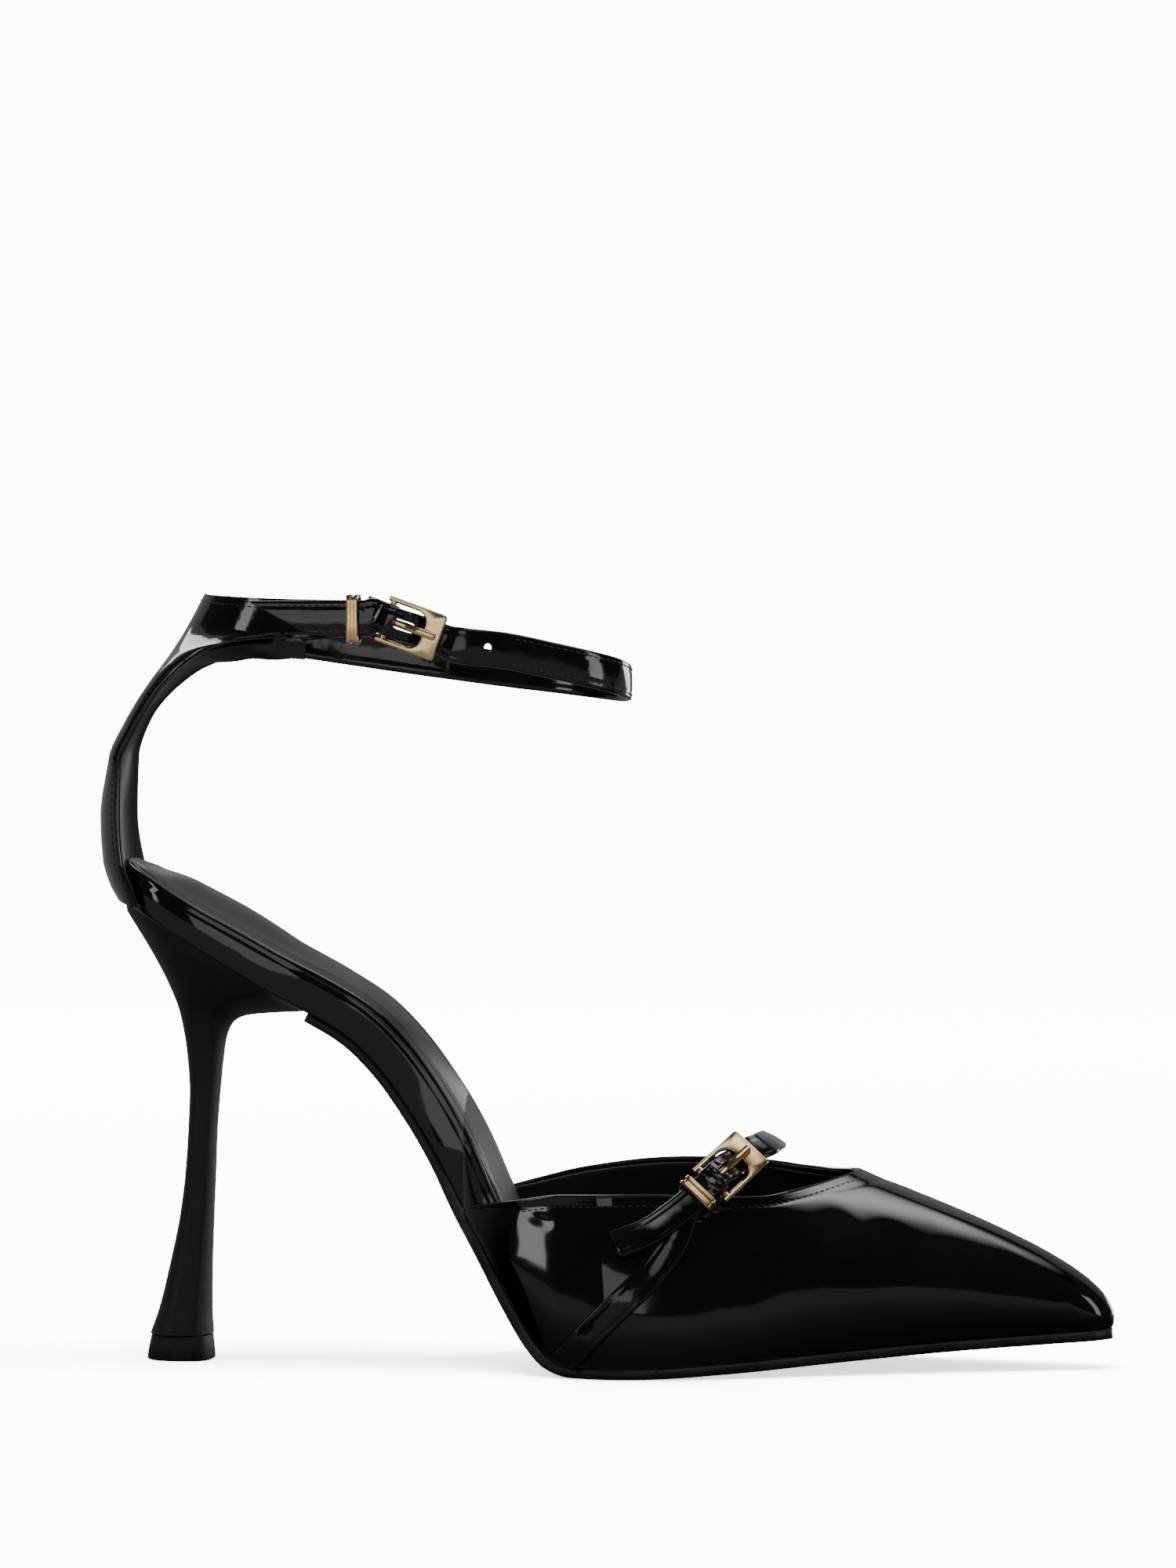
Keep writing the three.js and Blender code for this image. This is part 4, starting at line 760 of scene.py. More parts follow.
def sew(name, lines, pitch=1.55, length=1.2, thread=0.34):
    """One mesh of stitches along lines of (points, directions they face), all in millimetres."""
    tree = bpy.data.node_groups.get("stitch_row") or stitch_tree()
    points, edges, facing = [], [], []
    for line, outs in lines:
        first = len(points)
        points.extend(tuple(p) for p in to_row(line))
        facing.extend(tuple(o) for o in unit(np.asarray(outs, float)))
        edges.extend((first + i, first + i + 1) for i in range(len(line) - 1))
    mesh = bpy.data.meshes.new(name + "_path")
    mesh.from_pydata(points, edges, [])
    attribute = mesh.attributes.new("facing", "FLOAT_VECTOR", "POINT")
    attribute.data.foreach_set("vector", np.array(facing, np.float32).ravel())
    path = bpy.data.objects.new(name + "_path", mesh)
    bpy.context.scene.collection.objects.link(path)
    modifier = path.modifiers.new("stitches", "NODES")
    modifier.node_group = tree
    sockets = {
        item.name: item.identifier
        for item in tree.interface.items_tree
        if item.item_type == "SOCKET" and item.in_out == "INPUT"
    }
    modifier[sockets["Pitch"]] = pitch / 1000
    modifier[sockets["Stitch Length"]] = length / 1000
    modifier[sockets["Thread"]] = thread / 1000
    modifier[sockets["Finish"]] = finish("thread_black")
    bpy.context.view_layer.update()
    evaluated = path.evaluated_get(bpy.context.evaluated_depsgraph_get())
    result = bpy.data.meshes.new_from_object(evaluated)
    path.modifiers.remove(modifier)
    piece = bpy.data.objects.new(name, result)
    result.name = name
    bpy.context.scene.collection.objects.link(piece)
    bpy.data.objects.remove(path)
    bpy.data.meshes.remove(mesh)
    if not len(result.polygons):
        raise RuntimeError(name + " has no stitches")
    if not result.materials:
        result.materials.append(finish("thread_black"))
    return piece


# ---------- shared ways to make this shoe's pieces ----------
def settle(piece, body, slot, *nodes):
    """Rides on a body and stands for CAD nodes; the slot is not used."""
    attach(piece, body)
    if nodes:
        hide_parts(*nodes)
    return piece


def strap_rings(stations, steps, slant=None, crown=0.16, pucker=None):
    """Rings of a folded and stitched strap: soft crown, rounded folded edges."""
    strap = Ribbon(stations)
    t = np.linspace(0, 1, steps)
    middle, along, across, out, width = strap.frame(t)
    lanes = np.linspace(-1, 1, 15)
    rings = []
    for k in range(steps):
        half = width[k] / 2 - STRAP_THICKNESS / 2
        line = middle[k] + np.outer(lanes * half, across[k])
        lift = crown * (1 - lanes**2) - 0.1 * np.exp(-(((np.abs(lanes) - 0.78) / 0.09) ** 2))
        if pucker is not None:
            lift = lift + pucker(t[k], lanes)
        face = line + np.outer(STRAP_THICKNESS / 2 - crown + lift, out[k])
        if slant is not None:
            shift = slant(t[k]) * lanes
            face = face + np.outer(shift, along[k])
        normals = np.repeat(out[k][None], len(lanes), axis=0)
        rings.append(thick_rings(face[None], normals[None], STRAP_THICKNESS - crown)[0])
    return np.array(rings)


def strap_seams(strap, start, end, inset=1.15, lift=0.08, count=160, shift=None):
    """Both stitch rows of a strap, a little inside its edges on its outer face."""
    t = np.linspace(start, end, count)
    middle, along, across, out, width = strap.frame(t)
    rows = []
    for side in (-1, 1):
        off = side * (width / 2 - inset)
        line = middle + across * off[:, None] + out * (STRAP_THICKNESS / 2 + lift - 0.16)
        if shift is not None:
            line = line + along * (shift(t) * side)[:, None]
        rows.append((line, out))
    return rows


def sole_layer_rings(from_x, to_x, inset, low, high, edge_radius, lanes=41, count=200):
    """Rings across the sole between two heights above the feather line, with rounded edges."""
    share = (1 - np.cos(np.linspace(0, pi, count))) / 2
    xs = mix(from_x, to_x, mix(np.linspace(0, 1, count), share, 0.75))
    rings = []
    for x in xs:
        left = max(0.3, float(half_width(x, -1, inset(x))))
        right = max(0.3, float(half_width(x, 1, inset(x))))
        radius = min(edge_radius, left * 0.9)
        ys = mix(-left + radius, right - radius, np.linspace(0, 1, lanes))
        up = up_at(x)
        base = np.array([x, 0, float(feather(x))])
        top = base + vec(0, ys, 0) + np.outer(high(x, ys), up)
        bottom = base + vec(0, ys, 0) + np.outer(low(x, ys), up)
        thick = float(np.mean(np.einsum("ij,j->i", top - bottom, up)))
        turns = np.linspace(0, pi, 9)[1:-1]
        half = thick / 2

        def edge(side, middle):
            return [
                middle + np.array([0, side * radius * sin(a), 0]) + up * (half * cos(a)) for a in turns
            ]

        right_middle = (top[-1] + bottom[-1]) / 2
        left_middle = (top[0] + bottom[0]) / 2
        rings.append(np.concatenate([
            top, edge(1, right_middle), bottom[::-1], edge(-1, left_middle)[::-1],
        ]))
    return np.array(rings)


def heel_ring(back_x, back_z, front_x, front_z, half, front_power=0.55, count=96, chamfer=0.0):
    """A section of the heel: round at the back, squarer and drawn in towards its front."""
    angle = np.linspace(0, 2 * pi, count, endpoint=False)
    c, s = np.cos(angle), np.sin(angle)
    along = np.where(c > 0, np.abs(c) ** front_power, c)
    across = np.sign(s) * np.abs(s) ** np.where(c > 0, 0.8, 1.0)
    t = (along + 1) / 2
    across = across * (1 - chamfer * np.clip((t - 0.78) / 0.22, 0, 1))
    return vec(mix(back_x, front_x, t), half * across, mix(back_z, front_z, t))


def seat_ring(inset=0.9, count=96):
    """The heel's top section, which follows the outline and slope of the seat."""
    ring = heel_ring(SEAT_BACK + inset, 0, BREAST - 2, 0, 1, 0.3, count)
    x, y = ring[:, 0], ring[:, 1]
    half = np.maximum(half_width(x, np.where(y < 0, -1, 1)) - inset, 0)
    fill = np.where(x > SEAT_ROUND, np.minimum(1, np.abs(y) * 1.6), 1)
    return vec(x, np.where(y < 0, -1, 1) * half * fill, feather(x) - FIT)


def rounded_outline(corners, steps=5):
    """A closed outline through [x, y, radius] corners, each rounded by its radius."""
    points = []
    count = len(corners)
    for i, (x, y, radius) in enumerate(corners):
        here = np.array([x, y])
        before = unit(np.array(corners[i - 1][:2]) - here)
        after = unit(np.array(corners[(i + 1) % count][:2]) - here)
        if radius <= 0:
            points.append(here)
            continue
        bend = np.arccos(np.clip(before @ after, -1, 1))
        reach = radius / np.tan(bend / 2)
        centre = here + unit(before + after) * radius / sin(bend / 2)
        a, b = here + before * reach - centre, here + after * reach - centre
        angle_a, angle_b = np.arctan2(a[1], a[0]), np.arctan2(b[1], b[0])
        sweep = (angle_b - angle_a + pi) % (2 * pi) - pi
        for k in range(steps + 1):
            angle = angle_a + sweep * k / steps
            points.append(centre + radius * np.array([cos(angle), sin(angle)]))
    return np.array(points)


def inset_outline(outline, depth):
    """A closed outline moved inwards, sharing each corner between its two sides."""
    before = unit(outline - np.roll(outline, 1, axis=0))
    after = unit(np.roll(outline, -1, axis=0) - outline)
    left_before = np.column_stack([-before[:, 1], before[:, 0]])
    left_after = np.column_stack([-after[:, 1], after[:, 0]])
    mean = unit(left_before + left_after)
    share = np.maximum((mean * left_after).sum(axis=1), 0.5)
    return outline + mean * (depth / share)[:, None]


def merged(parts):
    """Several (points, faces) as one."""
    points, faces, base = [], [], 0
    for some, theirs in parts:
        points.append(np.asarray(some))
        faces.extend(tuple(base + i for i in face) for face in theirs)
        base += len(some)
    return np.concatenate(points), faces


def cut_away(piece, cutter):
    """Cuts one mesh out of a piece and removes the cutter."""
    modifier = piece.modifiers.new("cut", "BOOLEAN")
    modifier.operation = "DIFFERENCE"
    modifier.solver = "EXACT"
    modifier.object = cutter
    bpy.context.view_layer.update()
    evaluated = piece.evaluated_get(bpy.context.evaluated_depsgraph_get())
    result = bpy.data.meshes.new_from_object(evaluated)
    piece.modifiers.clear()
    piece.data = result
    result.shade_smooth()
    result.set_sharp_from_angle(angle=radians(42))
    bpy.data.objects.remove(cutter)
    return piece


# ---------- settings ----------
class PumpFinish(bpy.types.PropertyGroup):
    patent: FloatVectorProperty(
        name="Patent colour", description="Colour of the patent leather", subtype="COLOR",
        size=3, min=0, max=1, default=(0.0022, 0.0022, 0.0025))
    lining: FloatVectorProperty(
        name="Lining colour", description="Colour of the satin lining and sock", subtype="COLOR",
        size=3, min=0, max=1, default=(0.025, 0.0265, 0.027))
    metal: FloatVectorProperty(
        name="Hardware colour", description="Colour of the buckles and keepers", subtype="COLOR",
        size=3, min=0, max=1, default=(1.0, 0.72, 0.38))
    gloss_roughness: FloatProperty(
        name="Patent roughness", description="How soft the patent's reflections are",
        min=0, max=1, default=0.06)


class PumpSewing(bpy.types.PropertyGroup):
    pitch: FloatProperty(
        name="Stitch pitch", description="From one stitch to the next, in millimetres",
        min=0.8, max=4, default=1.6)
    stitch: FloatProperty(
        name="Stitch length", description="Length of each stitch that shows, in millimetres",
        min=0.5, max=3, default=1.25)
    thread: FloatProperty(
        name="Thread", description="Thickness of the thread, in millimetres",
        min=0.1, max=0.8, default=0.32)
    along_steps: IntProperty(
        name="Strap steps", description="Rings along each strap", min=60, max=900, default=420)


class PumpStage(bpy.types.PropertyGroup):
    camera_turn: FloatProperty(
        name="Camera turn", description="Turn of the camera from square on", subtype="ANGLE",
        default=radians(5.5))
    camera_rise: FloatProperty(
        name="Camera rise", description="Height angle of the camera", subtype="ANGLE",
        default=radians(1.6))
    camera_distance: FloatProperty(
        name="Camera distance", description="From the camera to the shoe", unit="LENGTH", default=1.6)
    lens: FloatProperty(name="Lens", description="Focal length in millimetres", default=161.28)
    key: FloatProperty(name="Key light", description="Strength of the overhead light", default=16.0)


# ---------- upper ----------
def topline_row(inset, lift, start=0.03, end=0.97, count=520):
    """Points and directions a set distance below the vamp's topline, on its outer face."""
    u = np.linspace(start, end, count)
    down = vamp_surface(u, 0.93) - vamp_surface(u, 1.0)
    v = 1 - 0.07 * inset / np.maximum(np.linalg.norm(down, axis=-1), 0.2)
    v = np.clip(v, 0.4, 1)
    normal = vamp_outwards(u, v)
    return vamp_surface(u, v) + normal * lift, normal


def vamp_outwards(u, v):
    """The vamp's normal, turned away from the foot."""
    normal = vamp_normal(u, v)
    u, v = np.broadcast_arrays(np.asarray(u, float), np.asarray(v, float))
    middle = vec(140, 0, 12)
    away = vamp_surface(u, v) - middle
    sign = np.sign((normal * away).sum(axis=-1, keepdims=True))
    return normal * np.where(sign == 0, 1, sign)


# Dents of the outer side beside the instep strap: x, z, reach along, reach up, depth.
VAMP_DENTS = (
    (131, 33.5, 5.0, 3.2, 0.42), (139, 31.0, 7.0, 2.4, 0.3), (150, 35.0, 6.0, 3.0, 0.3),
    (160, 31.5, 9.0, 2.6, 0.26), (146, 27.5, 8.0, 2.2, 0.18), (84, 34.5, 5.0, 2.0, 0.16),
)


def flex_creases(v, points):
    """Slight drag lines and lasting waves, so that the gloss breaks as on a worn sample."""
    x, z = points[..., 0], points[..., 2]
    outer = np.exp(-(((x - 150) / 22) ** 2)) * (points[..., 1] < 0)
    mid_height = np.sin(pi * np.clip(v, 0, 1)) ** 2
    drag = 0.17 * np.sin((x - 0.9 * z) / 4.6 + 0.6 * np.sin(z / 5)) * outer * mid_height
    broad = 0.2 * np.sin(x / 13 + 1.2) * np.sin(pi * v) ** 2 * ramp(x, 90, 120) * (1 - ramp(x, 175, 195))
    dents = 0 * x
    for at_x, at_z, reach_x, reach_z, depth in VAMP_DENTS:
        dents = dents - depth * np.exp(-(((x - at_x) / reach_x) ** 2) - ((z - at_z) / reach_z) ** 2)
    ripple = 1 + 0.5 * np.sin(x / 1.7 + z / 2.3)
    return drag * ramp(v, 0.35, 0.8) + broad * 0.45 + dents * ripple * (points[..., 1] < 0)


class PUMP_OT_vamp(bpy.types.Operator):
    """Makes the patent vamp with its folded topline, and the lining inside it"""

    bl_idname = "pump.vamp"
    bl_label = "Vamp"
    bl_options = {"REGISTER", "UNDO"}

    def execute(self, context):
        share = np.linspace(0, 1, 441)
        u = share - 0.45 * np.sin(2 * pi * share) / (2 * pi)
        v = np.concatenate([np.linspace(0, 0.9, 60), np.linspace(0.9, 1, 14)[1:]])
        grid_u, grid_v = np.meshgrid(u, v, indexing="ij")
        face = vamp_surface(grid_u, grid_v)
        out = vamp_outwards(grid_u, grid_v)
        face = face + out * flex_creases(grid_v, face)[..., None]
        below_top = 1 - grid_v
        fold = 0.16 * np.exp(-((below_top / 0.022) ** 2))
        fold = fold - 0.1 * np.exp(-((below_top - 0.055) / 0.012) ** 2)
        face = face + out * fold[..., None]
        rings = thick_rings(face, out, UPPER_THICKNESS, 8, round_start=False, roll=0.18)
        piece = make_piece("vamp", *loft(rings), finish("patent_black"), 60)
        settle(piece, "root", "patent_leather", "vamp_outer")
        share = np.linspace(0.02, 0.98, 241)
        u = share - 0.45 * np.sin(2 * pi * share) / (2 * pi)
        v = np.linspace(0.05, 0.985, 40)
        grid_u, grid_v = np.meshgrid(u, v, indexing="ij")
        along = ramp(grid_u, 0.2, 0.3) * (1 - ramp(grid_u, 0.7, 0.8))
        deeper = 1.05 * along * (1 - ramp(grid_v, 0.56, 0.7))
        face = vamp_surface(grid_u, grid_v)
        out = vamp_outwards(grid_u, grid_v)
        face = face - out * (UPPER_THICKNESS + 0.12 + deeper)[..., None]
        rings = thick_rings(face, out, LINING_THICKNESS, 4, round_start=False)
        piece = make_piece("vamp_inside", *loft(rings), finish("lining_satin"), 60)
        settle(piece, "root", "lining_leather", "vamp_lining")
        return {"FINISHED"}


class PUMP_OT_sole(bpy.types.Operator):
    """Makes the outsole, the rand round the footbed and the padded sock"""

    bl_idname = "pump.sole"
    bl_label = "Sole, rand and sock"
    bl_options = {"REGISTER", "UNDO"}

    def execute(self, context):
        rings = sole_layer_rings(
            BREAST, TOE_TIP - 0.1, lambda x: mix(0.7, -0.25, ramp(x, 55, 90)),
            lambda x, y: -FIT - OUTSOLE_THICKNESS + 0 * y, lambda x, y: -FIT + 0 * y, 0.7)
        piece = make_piece("outsole_edge", *loft(rings), finish("sole_black"), 60)
        settle(piece, "root", "sole_rubber", "outsole")
        self.make_rand()
        rings = sole_layer_rings(
            SEAT_BACK + 2.1, TOE_TIP - 6, floor_inset,
            lambda x, y: sock_height(x, y) - SOCK_THICKNESS,
            lambda x, y: sock_height(x, y) + sock_contours(x, y), 0.5, lanes=81, count=260)
        piece = make_piece("padded_sock", *loft(rings), finish("lining_satin"), 60)
        settle(piece, "root", "lining_leather", "sock_lining")
        return {"FINISHED"}

    def make_rand(self):
        share = np.linspace(0, 1, 421)
        angle = pi * share
        side = np.where(share < 0.5, 1.0, -1.0)
        x = RAND_FRONT - (RAND_FRONT - SEAT_BACK) * np.sin(angle)
        inset = (UPPER_FLOOR_INSET - RAND_THICKNESS - 2 * FIT) * ramp(x, 58, 68)
        top = mix(RAND_HEIGHT, FORE_PADDING + FIT, in_forepart(x))
        foot = vec(x, side * half_width(x, side, inset), feather(x))
        heading = unit(np.gradient(foot, axis=0))
        up = up_at(x)
        out = unit(np.cross(heading, up))
        centre = np.array([30.0, 0, 0])
        flip = np.sign(((foot - centre) * vec(1, 1, 0) * out).sum(axis=-1, keepdims=True))
        out = out * np.where(flip == 0, 1, flip)
        lanes = np.linspace(0, 1, 16)
        face = foot[:, None] + up[:, None] * (top[:, None] * lanes)[..., None]
        swell = 0.35 * np.sin(pi * lanes) ** 0.8 - 0.12 * np.exp(-(((lanes - 0.87) / 0.035) ** 2))
        face = face + out[:, None] * swell[None, :, None]
        rings = thick_rings(face, np.repeat(out[:, None], len(lanes), axis=1), RAND_THICKNESS, 8)
        piece = make_piece("footbed_rand", *loft(rings), finish("patent_black"), 60)
        settle(piece, "root", "patent_leather", "insole_rand")


def sock_contours(x, y):
    """Raised lines round the sock's padded heel, near its edge."""
    half = np.maximum(half_width(x, np.where(y < 0, -1, 1), 1.8), 1)
    from_edge = half - np.abs(y)
    rim = 0.4 * np.exp(-(((from_edge - 2.4) / 0.55) ** 2))
    rim = rim + 0.26 * np.exp(-(((from_edge - 5.0) / 0.7) ** 2))
    return rim * (1 - ramp(x, 62, 74)) * ramp(x, -14, -9)


class PUMP_OT_heel(bpy.types.Operator):
    """Makes the covered stiletto heel and its top piece"""

    bl_idname = "pump.heel"
    bl_label = "Heel"
    bl_options = {"REGISTER", "UNDO"}

    def execute(self, context):
        base = TOP_PIECE_HEIGHT + FIT
        neck = NECK_HALF
        keys = [
            [base, TIP_BACK + 0.8, TIP_FRONT - 0.2, base, TIP_HALF - 0.1, 0.55],
            [11.6, -7.8, 4.4, 11.6, mix(neck, TIP_HALF - 0.1, 0.74), 0.5],
            [21.3, -5.4, 4.5, 21.3, mix(neck, TIP_HALF - 0.1, 0.38), 0.42],
            [33.4, -2.9, 4.9, 33.4, mix(neck, TIP_HALF - 0.1, 0.12), 0.38],
            [43.1, -1.7, 5.3, 42.8, neck, 0.36], [53.5, -1, 5.7, 53.3, neck, 0.36],
            [61.6, -0.7, 6.4, 62, neck * 1.06, 0.36], [69.6, -1.2, 7, 68.4, neck * 1.25, 0.36],
            [79.2, -2.8, 7.8, 73.8, neck * 1.62, 0.36], [85.7, -5.2, 9.4, 77.2, neck * 2.05, 0.36],
            [93.7, -9.3, 13, 78.9, neck * 2.75, 0.36], [99.6, -12.9, 20.5, 79.6, neck * 3.5, 0.34],
            [103, -15, 26.6, 79.9, neck * 4, 0.33],
        ]
        smooth = track(keys)
        levels = np.concatenate([np.linspace(base, 70, 60), np.linspace(70, 103, 60)[1:]])
        rings = []
        for z in levels:
            back, front, front_z, half, power = smooth(z)
            rings.append(heel_ring(back, z, front, front_z, half, power, chamfer=0.34))
        seat = seat_ring()
        last = rings[-1]
        for share in (0.25, 0.5, 0.75, 1):
            rings.append(mix(last, seat, share))
        piece = make_piece("covered_heel", *loft(np.array(rings)), finish("heel_cover"), 40)
        settle(piece, "root", "heel_cover", "heel_block")
        profile = [(0, -0.35), (0.12, -0.12), (0.4, 0), (2.8, -0.12), (5.3, -0.3), (5.6, -0.45)]
        rings = []
        for z, grow in profile:
            back = mix(TIP_BACK, TIP_BACK + 0.7, z / TOP_PIECE_HEIGHT) - grow
            front = mix(TIP_FRONT, TIP_FRONT - 0.2, z / TOP_PIECE_HEIGHT) + grow
            rings.append(heel_ring(back, z, front, z, TIP_HALF + grow, 0.5))
        piece = make_piece("heel_tip", *loft(np.array(rings)), finish("tip_rubber"), 40)
        settle(piece, "root", "sole_rubber", "top_piece")
        return {"FINISHED"}


# ---------- straps ----------
class PUMP_OT_back_strap(bpy.types.Operator):
    """Makes the wide back strap and its lining"""

    bl_idname = "pump.back_strap"
    bl_label = "Back strap"
    bl_options = {"REGISTER", "UNDO"}

    def execute(self, context):
        u = np.linspace(-0.08, 1, 240)
        v = np.linspace(0, 1, 101)
        layers = (
            ("back_strap_patent", 0.0, 0.8, "patent_strap", "patent_leather",
             ("back_strap", "back_strap_root")),
            ("back_strap_inside", 0.82, 0.55, "lining_satin", "lining_leather", ("back_strap_lining",)),
        )
        for name, depth, thickness, skin, slot, nodes in layers:
            inner = depth > 0
            grid_u, grid_v = np.meshgrid(u[4:-2] if inner else u, v, indexing="ij")
            face = back_surface(grid_u, grid_v)
            out = back_outwards(grid_u, grid_v)
            rim = 0.12 * np.exp(-(((0.5 - np.abs(grid_v - 0.5)) / 0.045) ** 2))
            face = face + out * ((0 if inner else 1) * rim - depth)[..., None]
            rings = thick_rings(face, out, thickness, 6)
            piece = make_piece(name, *loft(rings), finish(skin), 60)
            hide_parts(*nodes)
            bend_at_seat(piece)
        return {"FINISHED"}


def back_outwards(u, v):
    """The back strap's normal, turned away from the ankle."""
    off_middle = np.where(np.abs(v - 0.5) < 0.004, 0.505, v)
    normal = normal_of(back_surface, np.clip(u, -0.078, 0.998), off_middle)
    points = back_surface(u, v)
    away = points - vec(30, 0, points[..., 2])
    sign = np.sign((normal * away).sum(axis=-1, keepdims=True))
    return normal * np.where(sign == 0, 1, sign)


def bend_at_seat(piece):
    """Bakes a piece of the back strap's placement into its mesh."""
    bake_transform(piece)


def slant_of_tip(t):
    """How far the ankle strap's free end is cut back towards its lower edge, in millimetres."""
    return -6.4 * ramp(t, 0.93, 1.0)


def window_puckers(strap, place, strength):
    """Creases across a strap where it bends up through its buckle."""
    t = np.linspace(0, 1, 1200)
    middle = strap.frame(t)[0]
    local = (middle - place[1]) @ place[0]
    near = np.abs(local[:, 1]) < 2
    ahead = np.where(near, local[:, 0], 99)

    def lift(at, lanes):
        x = float(np.interp(at, t, ahead))
        if not -4 < x < BUCKLE_LENGTH:
            return 0 * lanes
        wave = 0.5 * np.sin(2.3 * x + 1.1 * lanes) + 0.5 * np.sin(3.9 * x - 1.7 * lanes + 1)
        return strength * wave * (1 - 0.4 * lanes**2) * float(ramp(x, -4, -1) * (1 - ramp(x, 9, 12)))

    return lift


# Holes of the straps, in their buckle's frame: start, end, width.
PRONG_SLOT = (1.7, 6.4, 2.3)
SPARE_HOLE = (-0.95, 0.95, 1.9)
DIMPLE = (-1.7, 0.1, 1.8)
DIMPLE_DEPTHS = (2.95, 4.8)
THROUGH = (-3.2, 4.2)


def strap_hole(place, start, end, width, depths=THROUGH):
    """A cutter for the hole that a prong stands in, or for a spare hole."""
    corner = min(0.48 * width, 0.9)
    outline = rounded_outline([
        [start, -width / 2, corner], [end, -width / 2, corner], [end, width / 2, corner],
        [start, width / 2, corner],
    ], 6)
    rings = [vec(outline[:, 0], outline[:, 1], z) for z in depths]
    rings = placed(place, np.array(rings))
    return make_piece("cutter", *loft(rings), finish("patent_strap"))


class PUMP_OT_ankle_strap(bpy.types.Operator):
    """Makes the ankle strap with its slanted free end"""

    bl_idname = "pump.ankle_strap"
    bl_label = "Ankle strap"
    bl_options = {"REGISTER", "UNDO"}

    def execute(self, context):
        stations = ankle_stations()
        puckers = window_puckers(Ribbon(stations), ankle_place, 0.1)
        rings = strap_rings(
            stations, context.scene.pump_sewing.along_steps, slant=slant_of_tip, pucker=puckers)
        rings = rounded_ends(rings, 0.5)
        piece = make_piece("ankle_band", *loft(rings), finish("patent_strap"), 60)
        cut_away(piece, strap_hole(ankle_place, *PRONG_SLOT))
        cut_away(piece, strap_hole(ankle_hole_place, *SPARE_HOLE))
        settle(piece, "ankle_strap", "patent_leather", "ankle_strap")
        make_bar_loop("ankle_bar_wrap", ankle_place, 6, IN_BUCKLE_WIDTH, "ankle_strap", "ankle_bar_loop")
        return {"FINISHED"}


class PUMP_OT_instep_strap(bpy.types.Operator):
    """Makes the instep strap, and the tab that holds its buckle"""

    bl_idname = "pump.instep_strap"
    bl_label = "Instep strap"
    bl_options = {"REGISTER", "UNDO"}

    def execute(self, context):
        steps = context.scene.pump_sewing.along_steps
        stations = instep_stations()
        puckers = window_puckers(Ribbon(stations), instep_place, 0.24)
        rings = strap_rings(stations, steps, pucker=puckers)
        rings = rounded_ends(rings, 0.6)
        piece = make_piece("instep_band", *loft(rings), finish("patent_strap"), 60)
        cut_away(piece, strap_hole(instep_place, *PRONG_SLOT))
        cut_away(piece, strap_hole(instep_place, *DIMPLE, DIMPLE_DEPTHS))
        settle(piece, "root", "patent_leather", "instep_strap")
        rings = strap_rings(tab_stations(), steps // 2)
        rings = rounded_ends(rings, 0.4)
        piece = make_piece("instep_tab", *loft(rings), finish("patent_strap"), 60)
        settle(piece, "root", "patent_leather", "instep_buckle_tab")
        make_bar_loop("instep_bar_wrap", instep_place, 5, INSTEP_WIDTH, "root", "instep_bar_loop")
        return {"FINISHED"}


def make_bar_loop(name, place, tail, width, body, node):
    """The leather that wraps a buckle's bar, parted for the prong."""
    middle = (LOOP_INNER + LOOP_OUTER) / 2
    path = [[-tail + k * 0.5, -middle] for k in range(int(tail / 0.5) + 1)]
    path += [[middle * sin(a), -middle * cos(a)] for a in np.linspace(0, 1.93 * pi, 56)[1:]]
    path = np.array(path)
    along = unit(np.gradient(path, axis=0))
    normal = np.column_stack([along[:, 1], -along[:, 0]])
    turns = np.linspace(0, 2 * pi, 20, endpoint=False)
    parts = []
    half_gap = PRONG_WIDTH / 2 + FIT
    for low, high in ((-width / 2, -half_gap), (half_gap, width / 2)):
        centre, reach = (low + high) / 2, (high - low) / 2
        squared = np.sign(np.cos(turns)) * np.abs(np.cos(turns)) ** 0.25
        raised = np.sign(np.sin(turns)) * np.abs(np.sin(turns)) ** 0.6
        rings = [
            vec(p[0] + n[0] * raised * LOOP_THICKNESS / 2, centre + squared * reach,
                p[1] + n[1] * raised * LOOP_THICKNESS / 2)
            for p, n in zip(path, normal)
        ]
        parts.append(loft(placed(place, np.array(rings))))
    piece = make_piece(name, *merged(parts), finish("patent_strap"), 50)
    settle(piece, body, "patent_leather", node)


# ---------- hardware ----------
WINDOW_ROUND = 2.6
OUTER_ROUND = 0.8
RIM_ROUND = 0.42
CROWN = 0.22
KEEPER_ROUND = 0.5


